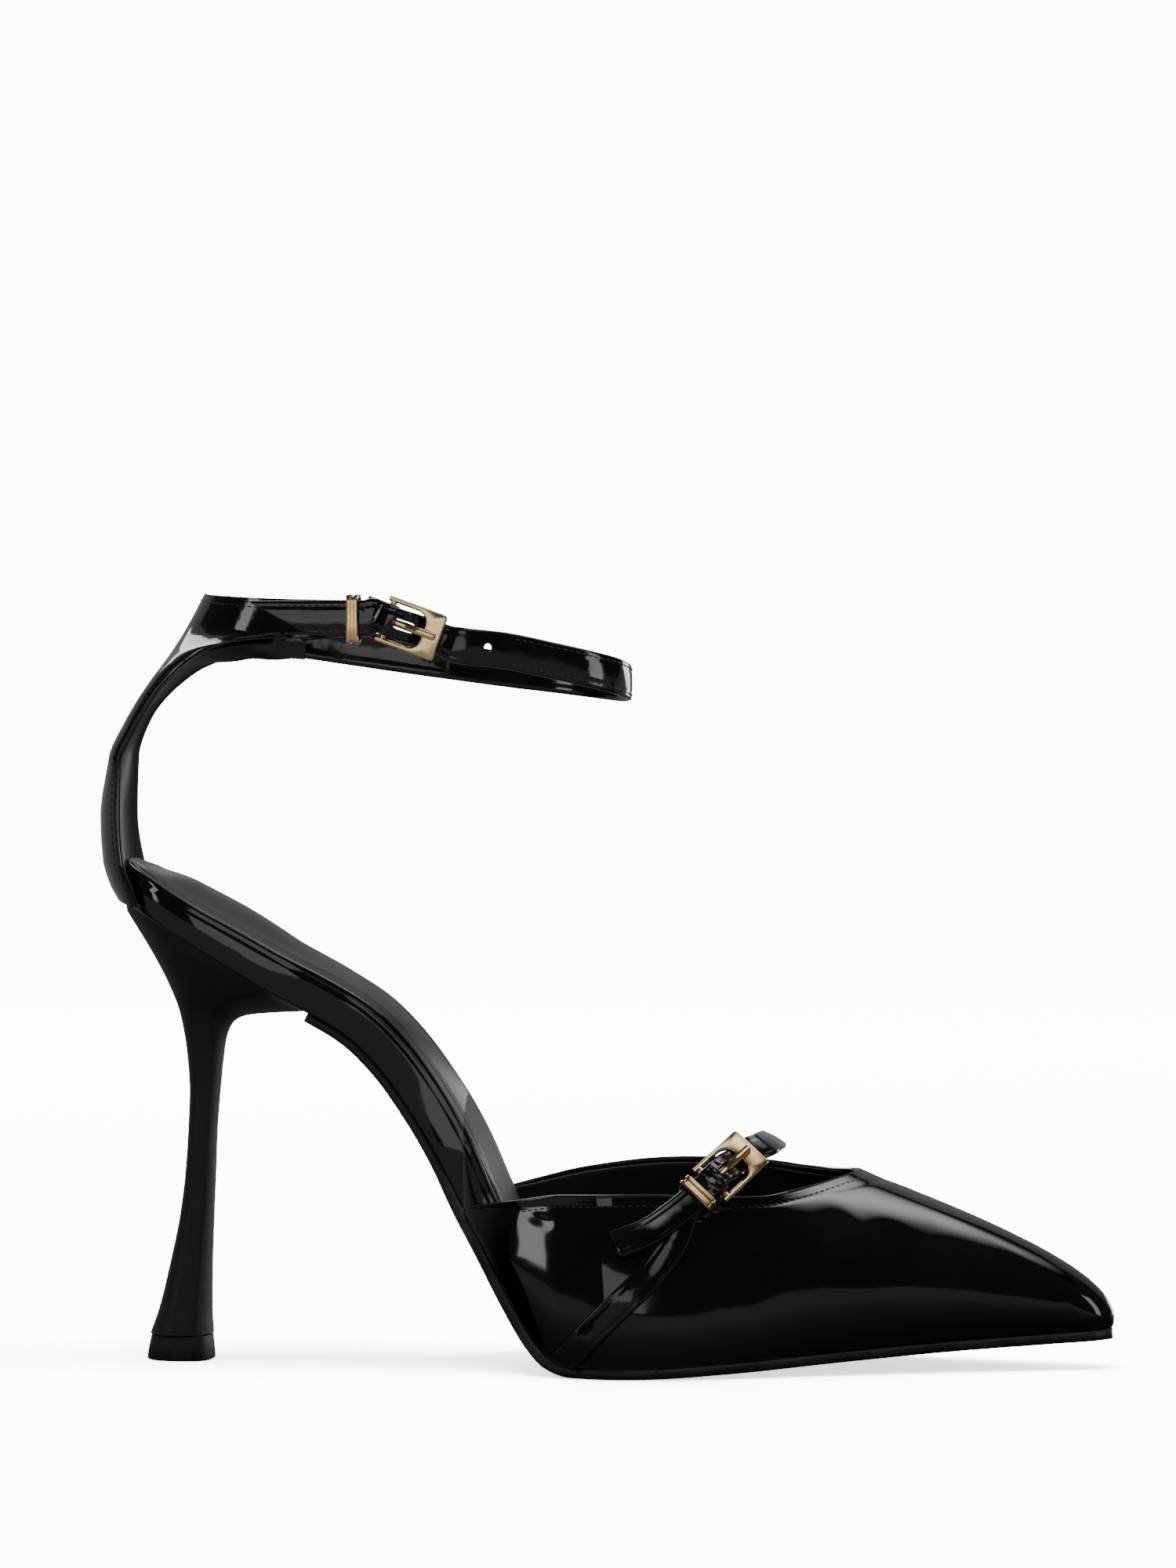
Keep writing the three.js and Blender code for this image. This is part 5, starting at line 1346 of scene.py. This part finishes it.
def buckle_rails():
    """The outer and inner lines of a buckle's U, from one leg's end round the front to the other's."""
    half, leg_end = BUCKLE_WIDTH / 2, -BAR_RADIUS - 0.5
    corner_x, corner_y = FRONT_START - WINDOW_ROUND, WINDOW_HALF - WINDOW_ROUND
    outer, inner = [], []
    for x in np.linspace(leg_end, corner_x, 14)[:-1]:
        outer.append((x, half))
        inner.append((x, WINDOW_HALF))
    for angle in np.linspace(pi / 2, 0, 40):
        inner.append((corner_x + WINDOW_ROUND * cos(angle), corner_y + WINDOW_ROUND * sin(angle)))
        reach = min((BUCKLE_LENGTH - corner_x) / max(cos(angle), 1e-6),
                    (half - corner_y) / max(sin(angle), 1e-6))
        x, y = corner_x + reach * cos(angle), corner_y + reach * sin(angle)
        over = np.array([x - (BUCKLE_LENGTH - OUTER_ROUND), y - (half - OUTER_ROUND)])
        if over.min() > 0:
            over = over / np.linalg.norm(over) * OUTER_ROUND
            x, y = BUCKLE_LENGTH - OUTER_ROUND + over[0], half - OUTER_ROUND + over[1]
        outer.append((x, y))
    for y in np.linspace(corner_y, 0, 8)[1:]:
        inner.append((FRONT_START, y))
        outer.append((BUCKLE_LENGTH, y))
    outer, inner = np.array(outer), np.array(inner)
    flip = np.array([1, -1])
    return (np.concatenate([outer, outer[-2::-1] * flip]), np.concatenate([inner, inner[-2::-1] * flip]))


def make_buckle(name, place, body, node):
    """A U of polished metal with softened rims and a crowned front, and the bar between its legs."""
    outer, inner = buckle_rails()
    rings = []
    for far, near in zip(outer, inner):
        width = np.linalg.norm(far - near)
        across = (far - near) / width
        rim = min(RIM_ROUND, width * 0.4)
        section = []
        for corner, (side, top) in enumerate(((1, 1), (0, 1), (0, -1), (1, -1))):
            middle = near + across * (width - rim if side else rim)
            for k in range(6):
                angle = (corner + k / 5) * pi / 2
                flat = middle + across * rim * cos(angle)
                rise = top * (BUCKLE_PLATE / 2 - rim) + rim * sin(angle)
                bulge = (1 - (flat[1] / (BUCKLE_WIDTH / 2)) ** 2) * ramp(flat[0], 5, 11)
                crown = CROWN * bulge if top > 0 else 0
                section.append((flat[0], flat[1], rise + float(crown)))
        rings.append(section)
    line = np.linspace(-WINDOW_HALF - 0.5, WINDOW_HALF + 0.5, 9)
    turns = np.linspace(0, 2 * pi, 32, endpoint=False)
    bar = np.array([vec(BAR_RADIUS * np.cos(turns), y, BAR_RADIUS * np.sin(turns)) for y in line])
    parts = [loft(placed(place, np.array(rings))), loft(placed(place, bar))]
    piece = make_piece(name, *merged(parts), finish("hardware_gold"), 32)
    settle(piece, body, "gold_hardware", node)


def make_prong(name, place, body, node):
    """A prong bent round the bar, with its tip resting on the buckle's front."""
    low = BUCKLE_PLATE / 2 + FIT
    rest = low + PRONG_THICKNESS / 2
    inner = BAR_RADIUS + 0.2
    eye = inner + 0.3
    path = [[eye * sin(a), eye * cos(a)] for a in np.linspace(-1.92 * pi, 0, 60)]
    shank = track([[0, 0, eye], [1, 1.0, eye * 0.86], [2.6, 4, 0.95], [4, FRONT_START - 0.6, rest],
                   [5, BUCKLE_LENGTH - 1.6, rest]])
    body_line = shank(np.linspace(0.25, 5, 50))
    wire = np.concatenate([path, body_line])
    wide = np.concatenate([np.full(len(path), 0.3), np.linspace(0.32, PRONG_THICKNESS / 2, 16),
                           np.full(34, PRONG_THICKNESS / 2)])
    along = unit(np.gradient(wire, axis=0))
    normal = np.column_stack([-along[:, 1], along[:, 0]])
    turns = np.linspace(0, 2 * pi, 28, endpoint=False)
    across = np.sign(np.cos(turns)) * np.abs(np.cos(turns)) ** 0.6 * PRONG_WIDTH / 2
    rings = [
        vec(p[0] + n[0] * w * np.sin(turns), across, p[1] + n[1] * w * np.sin(turns))
        for p, n, w in zip(wire, normal, wide)
    ]
    tip = []
    for a in np.linspace(0, pi / 2, 8)[1:]:
        grow = max(cos(a), 0.05)
        tip.append(vec(wire[-1][0] + 0.55 * sin(a) + 0 * turns, across * grow,
                       wire[-1][1] + wide[-1] * np.sin(turns) * grow))
    rings = placed(place, np.array(rings + tip))
    piece = make_piece(name, *loft(rings), finish("hardware_gold"), 40)
    settle(piece, body, "gold_hardware", node)


def make_keeper(name, place, strap_width, x, body, node):
    """A keeper folded from a channel, with a groove between its two ribs."""
    half = strap_width / 2 + 2 * FIT
    low, high = -LOOP_OUTER - FIT, OVER_STRAP + STRAP_THICKNESS / 2 + FIT + 0.25
    corners = [[y, z, KEEPER_ROUND] for y, z in ((-half, low), (half, low), (half, high), (-half, high))]
    inner = rounded_outline(corners, 6)
    reach = KEEPER_LENGTH / 2
    lanes = np.array([-1, -0.97, -0.9, -0.8, -0.5, -0.36, -0.28, -0.2, 0])
    depth = np.array([0.45, 0.7, 0.92, 1, 1, 0.97, 0.75, 0.5, 0.45])
    lanes, depth = np.concatenate([lanes, -lanes[-2::-1]]), np.concatenate([depth, depth[-2::-1]])
    section = [(lane * reach, share * KEEPER_WALL) for lane, share in zip(lanes, depth)]
    section += [(0.95 * reach, 0.0), (-0.95 * reach, 0.0)]
    loops = []
    for along, out in section:
        ring = inset_outline(inner, -out) if out else inner
        loops.append(vec(x + along + 0 * ring[:, 0], ring[:, 0], ring[:, 1]))
    rings = np.array(loops).transpose(1, 0, 2)
    piece = make_piece(name, *loft(placed(place, rings), closed=True), finish("hardware_gold"), 35)
    settle(piece, body, "gold_hardware", node)


class PUMP_OT_hardware(bpy.types.Operator):
    """Makes both buckles, their prongs and their keepers"""

    bl_idname = "pump.hardware"
    bl_label = "Buckles and keepers"
    bl_options = {"REGISTER", "UNDO"}

    def execute(self, context):
        for strap, place in (("ankle", ankle_place), ("instep", instep_place)):
            make_buckle(strap + "_buckle", place, strap + "_buckle", strap + "_buckle_frame")
            make_prong(strap + "_tongue", place, strap + "_prong", strap + "_buckle_prong")
        make_keeper("ankle_loop", ankle_keeper_place, ANKLE_WIDTH, 0, "ankle_keeper", "ankle_keeper")
        make_keeper("instep_loop", instep_place, INSTEP_WIDTH, -5.2, "instep_keeper", "instep_keeper")
        return {"FINISHED"}


class PUMP_OT_stitching(bpy.types.Operator):
    """Sews the stitch rows of the topline, straps and back strap"""

    bl_idname = "pump.stitching"
    bl_label = "Stitching"
    bl_options = {"REGISTER", "UNDO"}

    def execute(self, context):
        sewing = context.scene.pump_sewing
        sizes = dict(pitch=sewing.pitch, length=sewing.stitch, thread=sewing.thread)
        tab = Ribbon(tab_stations())
        ends = [(line[:9], out[:9]) for line, out in strap_seams(tab, 0.012, 0.3, 1.0)]
        lines = [topline_row(2.1, 0.02), *ends]
        piece = sew("upper_stitches", lines, **sizes)
        settle(piece, "root", "patent_leather")
        ankle = Ribbon(ankle_stations())
        lines = strap_seams(ankle, 0.01, 0.7, 1.3, count=300)
        lines += strap_seams(ankle, 0.855, 0.975, 1.3, shift=slant_of_tip)
        piece = sew("ankle_stitches", lines, **sizes)
        settle(piece, "ankle_strap", "patent_leather")
        piece = sew("back_stitches", self.back_rows(), **sizes)
        bend_at_seat(piece)
        return {"FINISHED"}

    def back_rows(self):
        rows = []
        u = np.linspace(-0.03, 0.985, 400)
        v = np.linspace(0, 0.5, 60)
        for mirrored in (False, True):
            grid_u, grid_v = np.meshgrid(u, 1 - v if mirrored else v, indexing="ij")
            surface = back_surface(grid_u, grid_v)
            run = np.cumsum(np.linalg.norm(np.diff(surface, axis=1), axis=-1), axis=1)
            at = np.array([np.interp(1.5, row, v[1:]) for row in run])
            at = 1 - at if mirrored else at
            normal = back_outwards(u, at)
            rows.append((back_surface(u, at) + normal * 0.03, normal))
        v = np.linspace(0.04, 0.96, 260)
        normal = back_outwards(0.985 + 0 * v, v)
        rows.append((back_surface(0.985 + 0 * v, v) + normal * 0.03, normal))
        return rows


class PUMP_OT_inner_parts(bpy.types.Operator):
    """Gives the carried-over inner parts their finishes"""

    bl_idname = "pump.inner_parts"
    bl_label = "Inner parts"
    bl_options = {"REGISTER", "UNDO"}

    def execute(self, context):
        finishes = {
            "insole_board": "fibre_board", "toe_puff": "fibre_board",
            "footbed_filler": "padding_foam", "heel_cushion": "padding_foam",
        }
        for name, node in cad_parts.items():
            if node.hide_render:
                continue
            skin = finish(finishes.get(name, "inner_steel"))
            node.data.materials.clear()
            node.data.materials.append(skin)
        return {"FINISHED"}


CAMERA_TARGET = (0.09385, 0, 0.132)
PAPER_LIFT = 9.0
PAPER_GLOW_NEAR = 1.5
PAPER_GLOW = 10.0
PAPER_MIRRORED = 0.26
# The glow that the gloss mirrors in a band along the shoe, kept low as a painted shadow.
PAPER_MIRRORED_PAINTED_SHADOW = 0.04
ROOM_GLOW = 0.04
# Name, place, what it faces, size; a lamp's share of the key light, or a panel's own glow.
STUDIO = (
    ("overhead", (0.1, -0.05, 1.2), (0.1, 0, 0.05), (1.0, 0.6), 1.0, 0),
    ("soft_panel", (0.55, 0.2, 1.1), (0.12, 0, 0.05), (1.3, 0.9), 0, 5.0),
    ("window", (0.37, -0.95, 1.27), (0.12, 0, 0.06), (0.1, 0.24), 0.07, 0),
    ("gold_card", (0.38, -0.9, 1.2), (0.12, 0, 0.05), (0.75, 0.6), 0, 2.6),
    ("breast_card", (0.066, 0.0, 0.05), (-0.2, -0.02, 0.05), (0.07, 0.1), 0, 1.6),
    ("toe_side", (1.4, -0.5, 0.35), (0.16, 0, 0.04), (0.25, 0.7), 0.1, 0),
    ("heel_side", (-1.1, -0.7, 0.5), (0, 0, 0.1), (0.2, 0.8), 0.1, 0),
    ("rim", (-0.4, 1.1, 0.8), (0.05, 0, 0.1), (0.8, 0.5), 0.3, 0),
    ("far_side", (1.15, 1.25, 0.22), (0, 0, 0.06), (0.5, 0.5), 0.3, 0),
    ("front_card", (-0.12, -1.75, 0.26), (0.05, 0, 0.16), (0.8, 0.42), 0.07, 0),
)


def split_by_ray(tree, others, camera, output):
    """Shows one shader to the camera and another to every other ray."""
    path = tree.nodes.new("ShaderNodeLightPath")
    choose = tree.nodes.new("ShaderNodeMixShader")
    join_up(tree, (path.outputs["Is Camera Ray"], choose.inputs[0]), (others, choose.inputs[1]),
            (camera, choose.inputs[2]), (choose.outputs[0], output.inputs["Surface"]))


class PUMP_OT_stage(bpy.types.Operator):
    """Makes the pale floor, the studio lights and the camera"""

    bl_idname = "pump.stage"
    bl_label = "Stage"
    bl_options = {"REGISTER", "UNDO"}

    def execute(self, context):
        self.make_floor()
        self.make_world()
        stage = context.scene.pump_stage
        for name, place, target, size, lamp_share, panel_glow in STUDIO:
            if panel_glow:
                self.make_panel(name, place, target, size, panel_glow)
            else:
                self.make_light(name, place, target, size, stage.key * lamp_share)
        bpy.data.objects["overhead"].visible_glossy = False
        self.make_camera(context, stage)
        return {"FINISHED"}

    def make_floor(self):
        half, back, rise, bend = 6.0, 3.2, 5.0, 1.2
        line = [(-half, 0.0)] + [
            (back - bend + bend * sin(a), bend * (1 - cos(a))) for a in np.linspace(0, pi / 2, 24)
        ] + [(back, rise)]
        points = [(x, y, z) for x in (-half, half) for y, z in line]
        count = len(line)
        mesh = bpy.data.meshes.new("floor")
        mesh.from_pydata(points, [], [(i, count + i, count + i + 1, i + 1) for i in range(count - 1)])
        mesh.shade_smooth()
        floor = bpy.data.objects.new("floor", mesh)
        bpy.context.scene.collection.objects.link(floor)
        mesh.materials.append(self.paper())

    def paper(self):
        """Pale paper that the shoe's gloss mirrors more dimly than it looks, and more dimly still in a
        band along the shoe: a painted shadow.
        """
        skin = bpy.data.materials.new("pale_paper")
        skin.use_nodes = True
        tree = skin.node_tree
        tree.nodes.remove(tree.nodes["Principled BSDF"])
        matt = tree.nodes.new("ShaderNodeBsdfDiffuse")
        matt.inputs["Color"].default_value = (PAPER_LIFT, PAPER_LIFT, PAPER_LIFT, 1)
        glow = tree.nodes.new("ShaderNodeEmission")
        seen = tree.nodes.new("ShaderNodeAddShader")
        place = tree.nodes.new("ShaderNodeTexCoord")
        away = tree.nodes.new("ShaderNodeVectorMath")
        away.operation = "LENGTH"
        fade = tree.nodes.new("ShaderNodeMapRange")
        fade.interpolation_type = "SMOOTHSTEP"
        fade.inputs["From Min"].default_value = 0.15
        fade.inputs["From Max"].default_value = 1.9
        fade.inputs["To Min"].default_value = PAPER_GLOW_NEAR
        fade.inputs["To Max"].default_value = PAPER_GLOW
        mirrored = tree.nodes.new("ShaderNodeEmission")
        parted = tree.nodes.new("ShaderNodeSeparateXYZ")
        # Painted shadow: what the gloss mirrors of the paper dims in a band along the shoe's line.
        side = tree.nodes.new("ShaderNodeMapRange")
        side.inputs["From Min"].default_value = 0.03
        side.inputs["From Max"].default_value = 0.14
        side.inputs["To Min"].default_value = PAPER_MIRRORED_PAINTED_SHADOW
        side.inputs["To Max"].default_value = PAPER_MIRRORED
        join_up(tree, (place.outputs["Object"], parted.inputs[0]),
                (math_node(tree, "ABSOLUTE", parted.outputs["Y"], 0.0), side.inputs["Value"]),
                (side.outputs["Result"], mirrored.inputs["Strength"]))
        join_up(tree, (place.outputs["Object"], away.inputs[0]),
                (away.outputs["Value"], fade.inputs["Value"]),
                (fade.outputs["Result"], glow.inputs["Strength"]), (matt.outputs[0], seen.inputs[0]),
                (glow.outputs[0], seen.inputs[1]))
        split_by_ray(tree, mirrored.outputs[0], seen.outputs[0], tree.nodes["Material Output"])
        return skin

    def make_world(self):
        world = bpy.data.worlds.new("studio")
        world.use_nodes = True
        tree = world.node_tree
        dim = tree.nodes["Background"]
        dim.inputs["Color"].default_value = (1, 1, 1, 1)
        dim.inputs["Strength"].default_value = ROOM_GLOW
        pale = tree.nodes.new("ShaderNodeBackground")
        pale.inputs["Color"].default_value = (1, 1, 1, 1)
        pale.inputs["Strength"].default_value = PAPER_GLOW
        split_by_ray(tree, dim.outputs[0], pale.outputs[0], tree.nodes["World Output"])
        bpy.context.scene.world = world

    def make_light(self, name, place, target, size, power):
        light = bpy.data.lights.new(name, "AREA")
        light.shape = "RECTANGLE"
        light.size, light.size_y = size
        light.energy = power
        lamp = bpy.data.objects.new(name, light)
        lamp.location = place
        lamp.rotation_euler = (Vector(target) - Vector(place)).to_track_quat("-Z", "Y").to_euler()
        bpy.context.scene.collection.objects.link(lamp)
        return lamp

    def make_panel(self, name, place, target, size, strength):
        """A softly fading panel that only the shoe's gloss sees."""
        across, along = size[0] / 2, size[1] / 2
        mesh = bpy.data.meshes.new(name)
        corners = [(-across, -along, 0), (-across, along, 0), (across, along, 0), (across, -along, 0)]
        mesh.from_pydata(corners, [], [(0, 1, 2, 3)])
        skin = bpy.data.materials.new(name)
        skin.use_nodes = True
        tree = skin.node_tree
        tree.nodes.remove(tree.nodes["Principled BSDF"])
        place_node = tree.nodes.new("ShaderNodeTexCoord")
        squeeze = tree.nodes.new("ShaderNodeMapping")
        squeeze.inputs["Scale"].default_value = (1 / across, 1 / along, 1)
        away = tree.nodes.new("ShaderNodeVectorMath")
        away.operation = "LENGTH"
        fade = tree.nodes.new("ShaderNodeMapRange")
        fade.interpolation_type = "SMOOTHSTEP"
        fade.inputs["From Min"].default_value = 1.0
        fade.inputs["From Max"].default_value = 0.0
        fade.inputs["To Max"].default_value = strength
        glow = tree.nodes.new("ShaderNodeEmission")
        join_up(tree, (place_node.outputs["Object"], squeeze.inputs["Vector"]),
                (squeeze.outputs["Vector"], away.inputs[0]),
                (away.outputs["Value"], fade.inputs["Value"]),
                (fade.outputs["Result"], glow.inputs["Strength"]),
                (glow.outputs[0], tree.nodes["Material Output"].inputs["Surface"]))
        mesh.materials.append(skin)
        panel = bpy.data.objects.new(name, mesh)
        panel.location = place
        panel.rotation_euler = (Vector(target) - Vector(place)).to_track_quat("-Z", "Y").to_euler()
        panel.visible_camera = False
        panel.visible_shadow = False
        panel.visible_diffuse = False
        bpy.context.scene.collection.objects.link(panel)

    def make_camera(self, context, stage):
        turn, rise = stage.camera_turn, stage.camera_rise
        back = Vector((sin(turn) * cos(rise), -cos(turn) * cos(rise), sin(rise)))
        target = Vector(CAMERA_TARGET)
        camera = bpy.data.objects.new("camera", bpy.data.cameras.new("camera"))
        camera.data.lens = stage.lens
        camera.data.sensor_width = 36.0
        camera.data.clip_start = 0.05
        camera.location = target + back * stage.camera_distance
        camera.rotation_euler = (-back).to_track_quat("-Z", "Y").to_euler()
        context.scene.collection.objects.link(camera)
        context.scene.camera = camera


class PUMP_PT_panel(bpy.types.Panel):
    """Lists the operators and settings of the pump"""

    bl_idname = "PUMP_PT_panel"
    bl_label = "High heel pump"
    bl_space_type = "VIEW_3D"
    bl_region_type = "UI"
    bl_category = "Pump"

    def draw(self, context):
        column = self.layout.column(align=True)
        for operator in OPERATORS:
            column.operator(operator.bl_idname)
        for settings in (context.scene.pump_finish, context.scene.pump_sewing, context.scene.pump_stage):
            box = self.layout.box()
            for name in settings.bl_rna.properties.keys():
                if name not in ("rna_type", "name"):
                    box.prop(settings, name)


SETTINGS = (("pump_finish", PumpFinish), ("pump_sewing", PumpSewing), ("pump_stage", PumpStage))
OPERATORS = (
    PUMP_OT_vamp, PUMP_OT_sole, PUMP_OT_heel, PUMP_OT_back_strap, PUMP_OT_ankle_strap,
    PUMP_OT_instep_strap, PUMP_OT_hardware, PUMP_OT_stitching, PUMP_OT_inner_parts, PUMP_OT_stage,
)


def register():
    for name, settings in SETTINGS:
        bpy.utils.register_class(settings)
        setattr(bpy.types.Scene, name, PointerProperty(type=settings))
    for operator in OPERATORS:
        bpy.utils.register_class(operator)
    bpy.utils.register_class(PUMP_PT_panel)


def unregister():
    bpy.utils.unregister_class(PUMP_PT_panel)
    for operator in reversed(OPERATORS):
        bpy.utils.unregister_class(operator)
    for name, settings in reversed(SETTINGS):
        delattr(bpy.types.Scene, name)
        bpy.utils.unregister_class(settings)


def main():
    register()
    for operator in OPERATORS:
        group, name = operator.bl_idname.split(".")
        getattr(getattr(bpy.ops, group), name)()


if __name__ == "__main__":
    main()
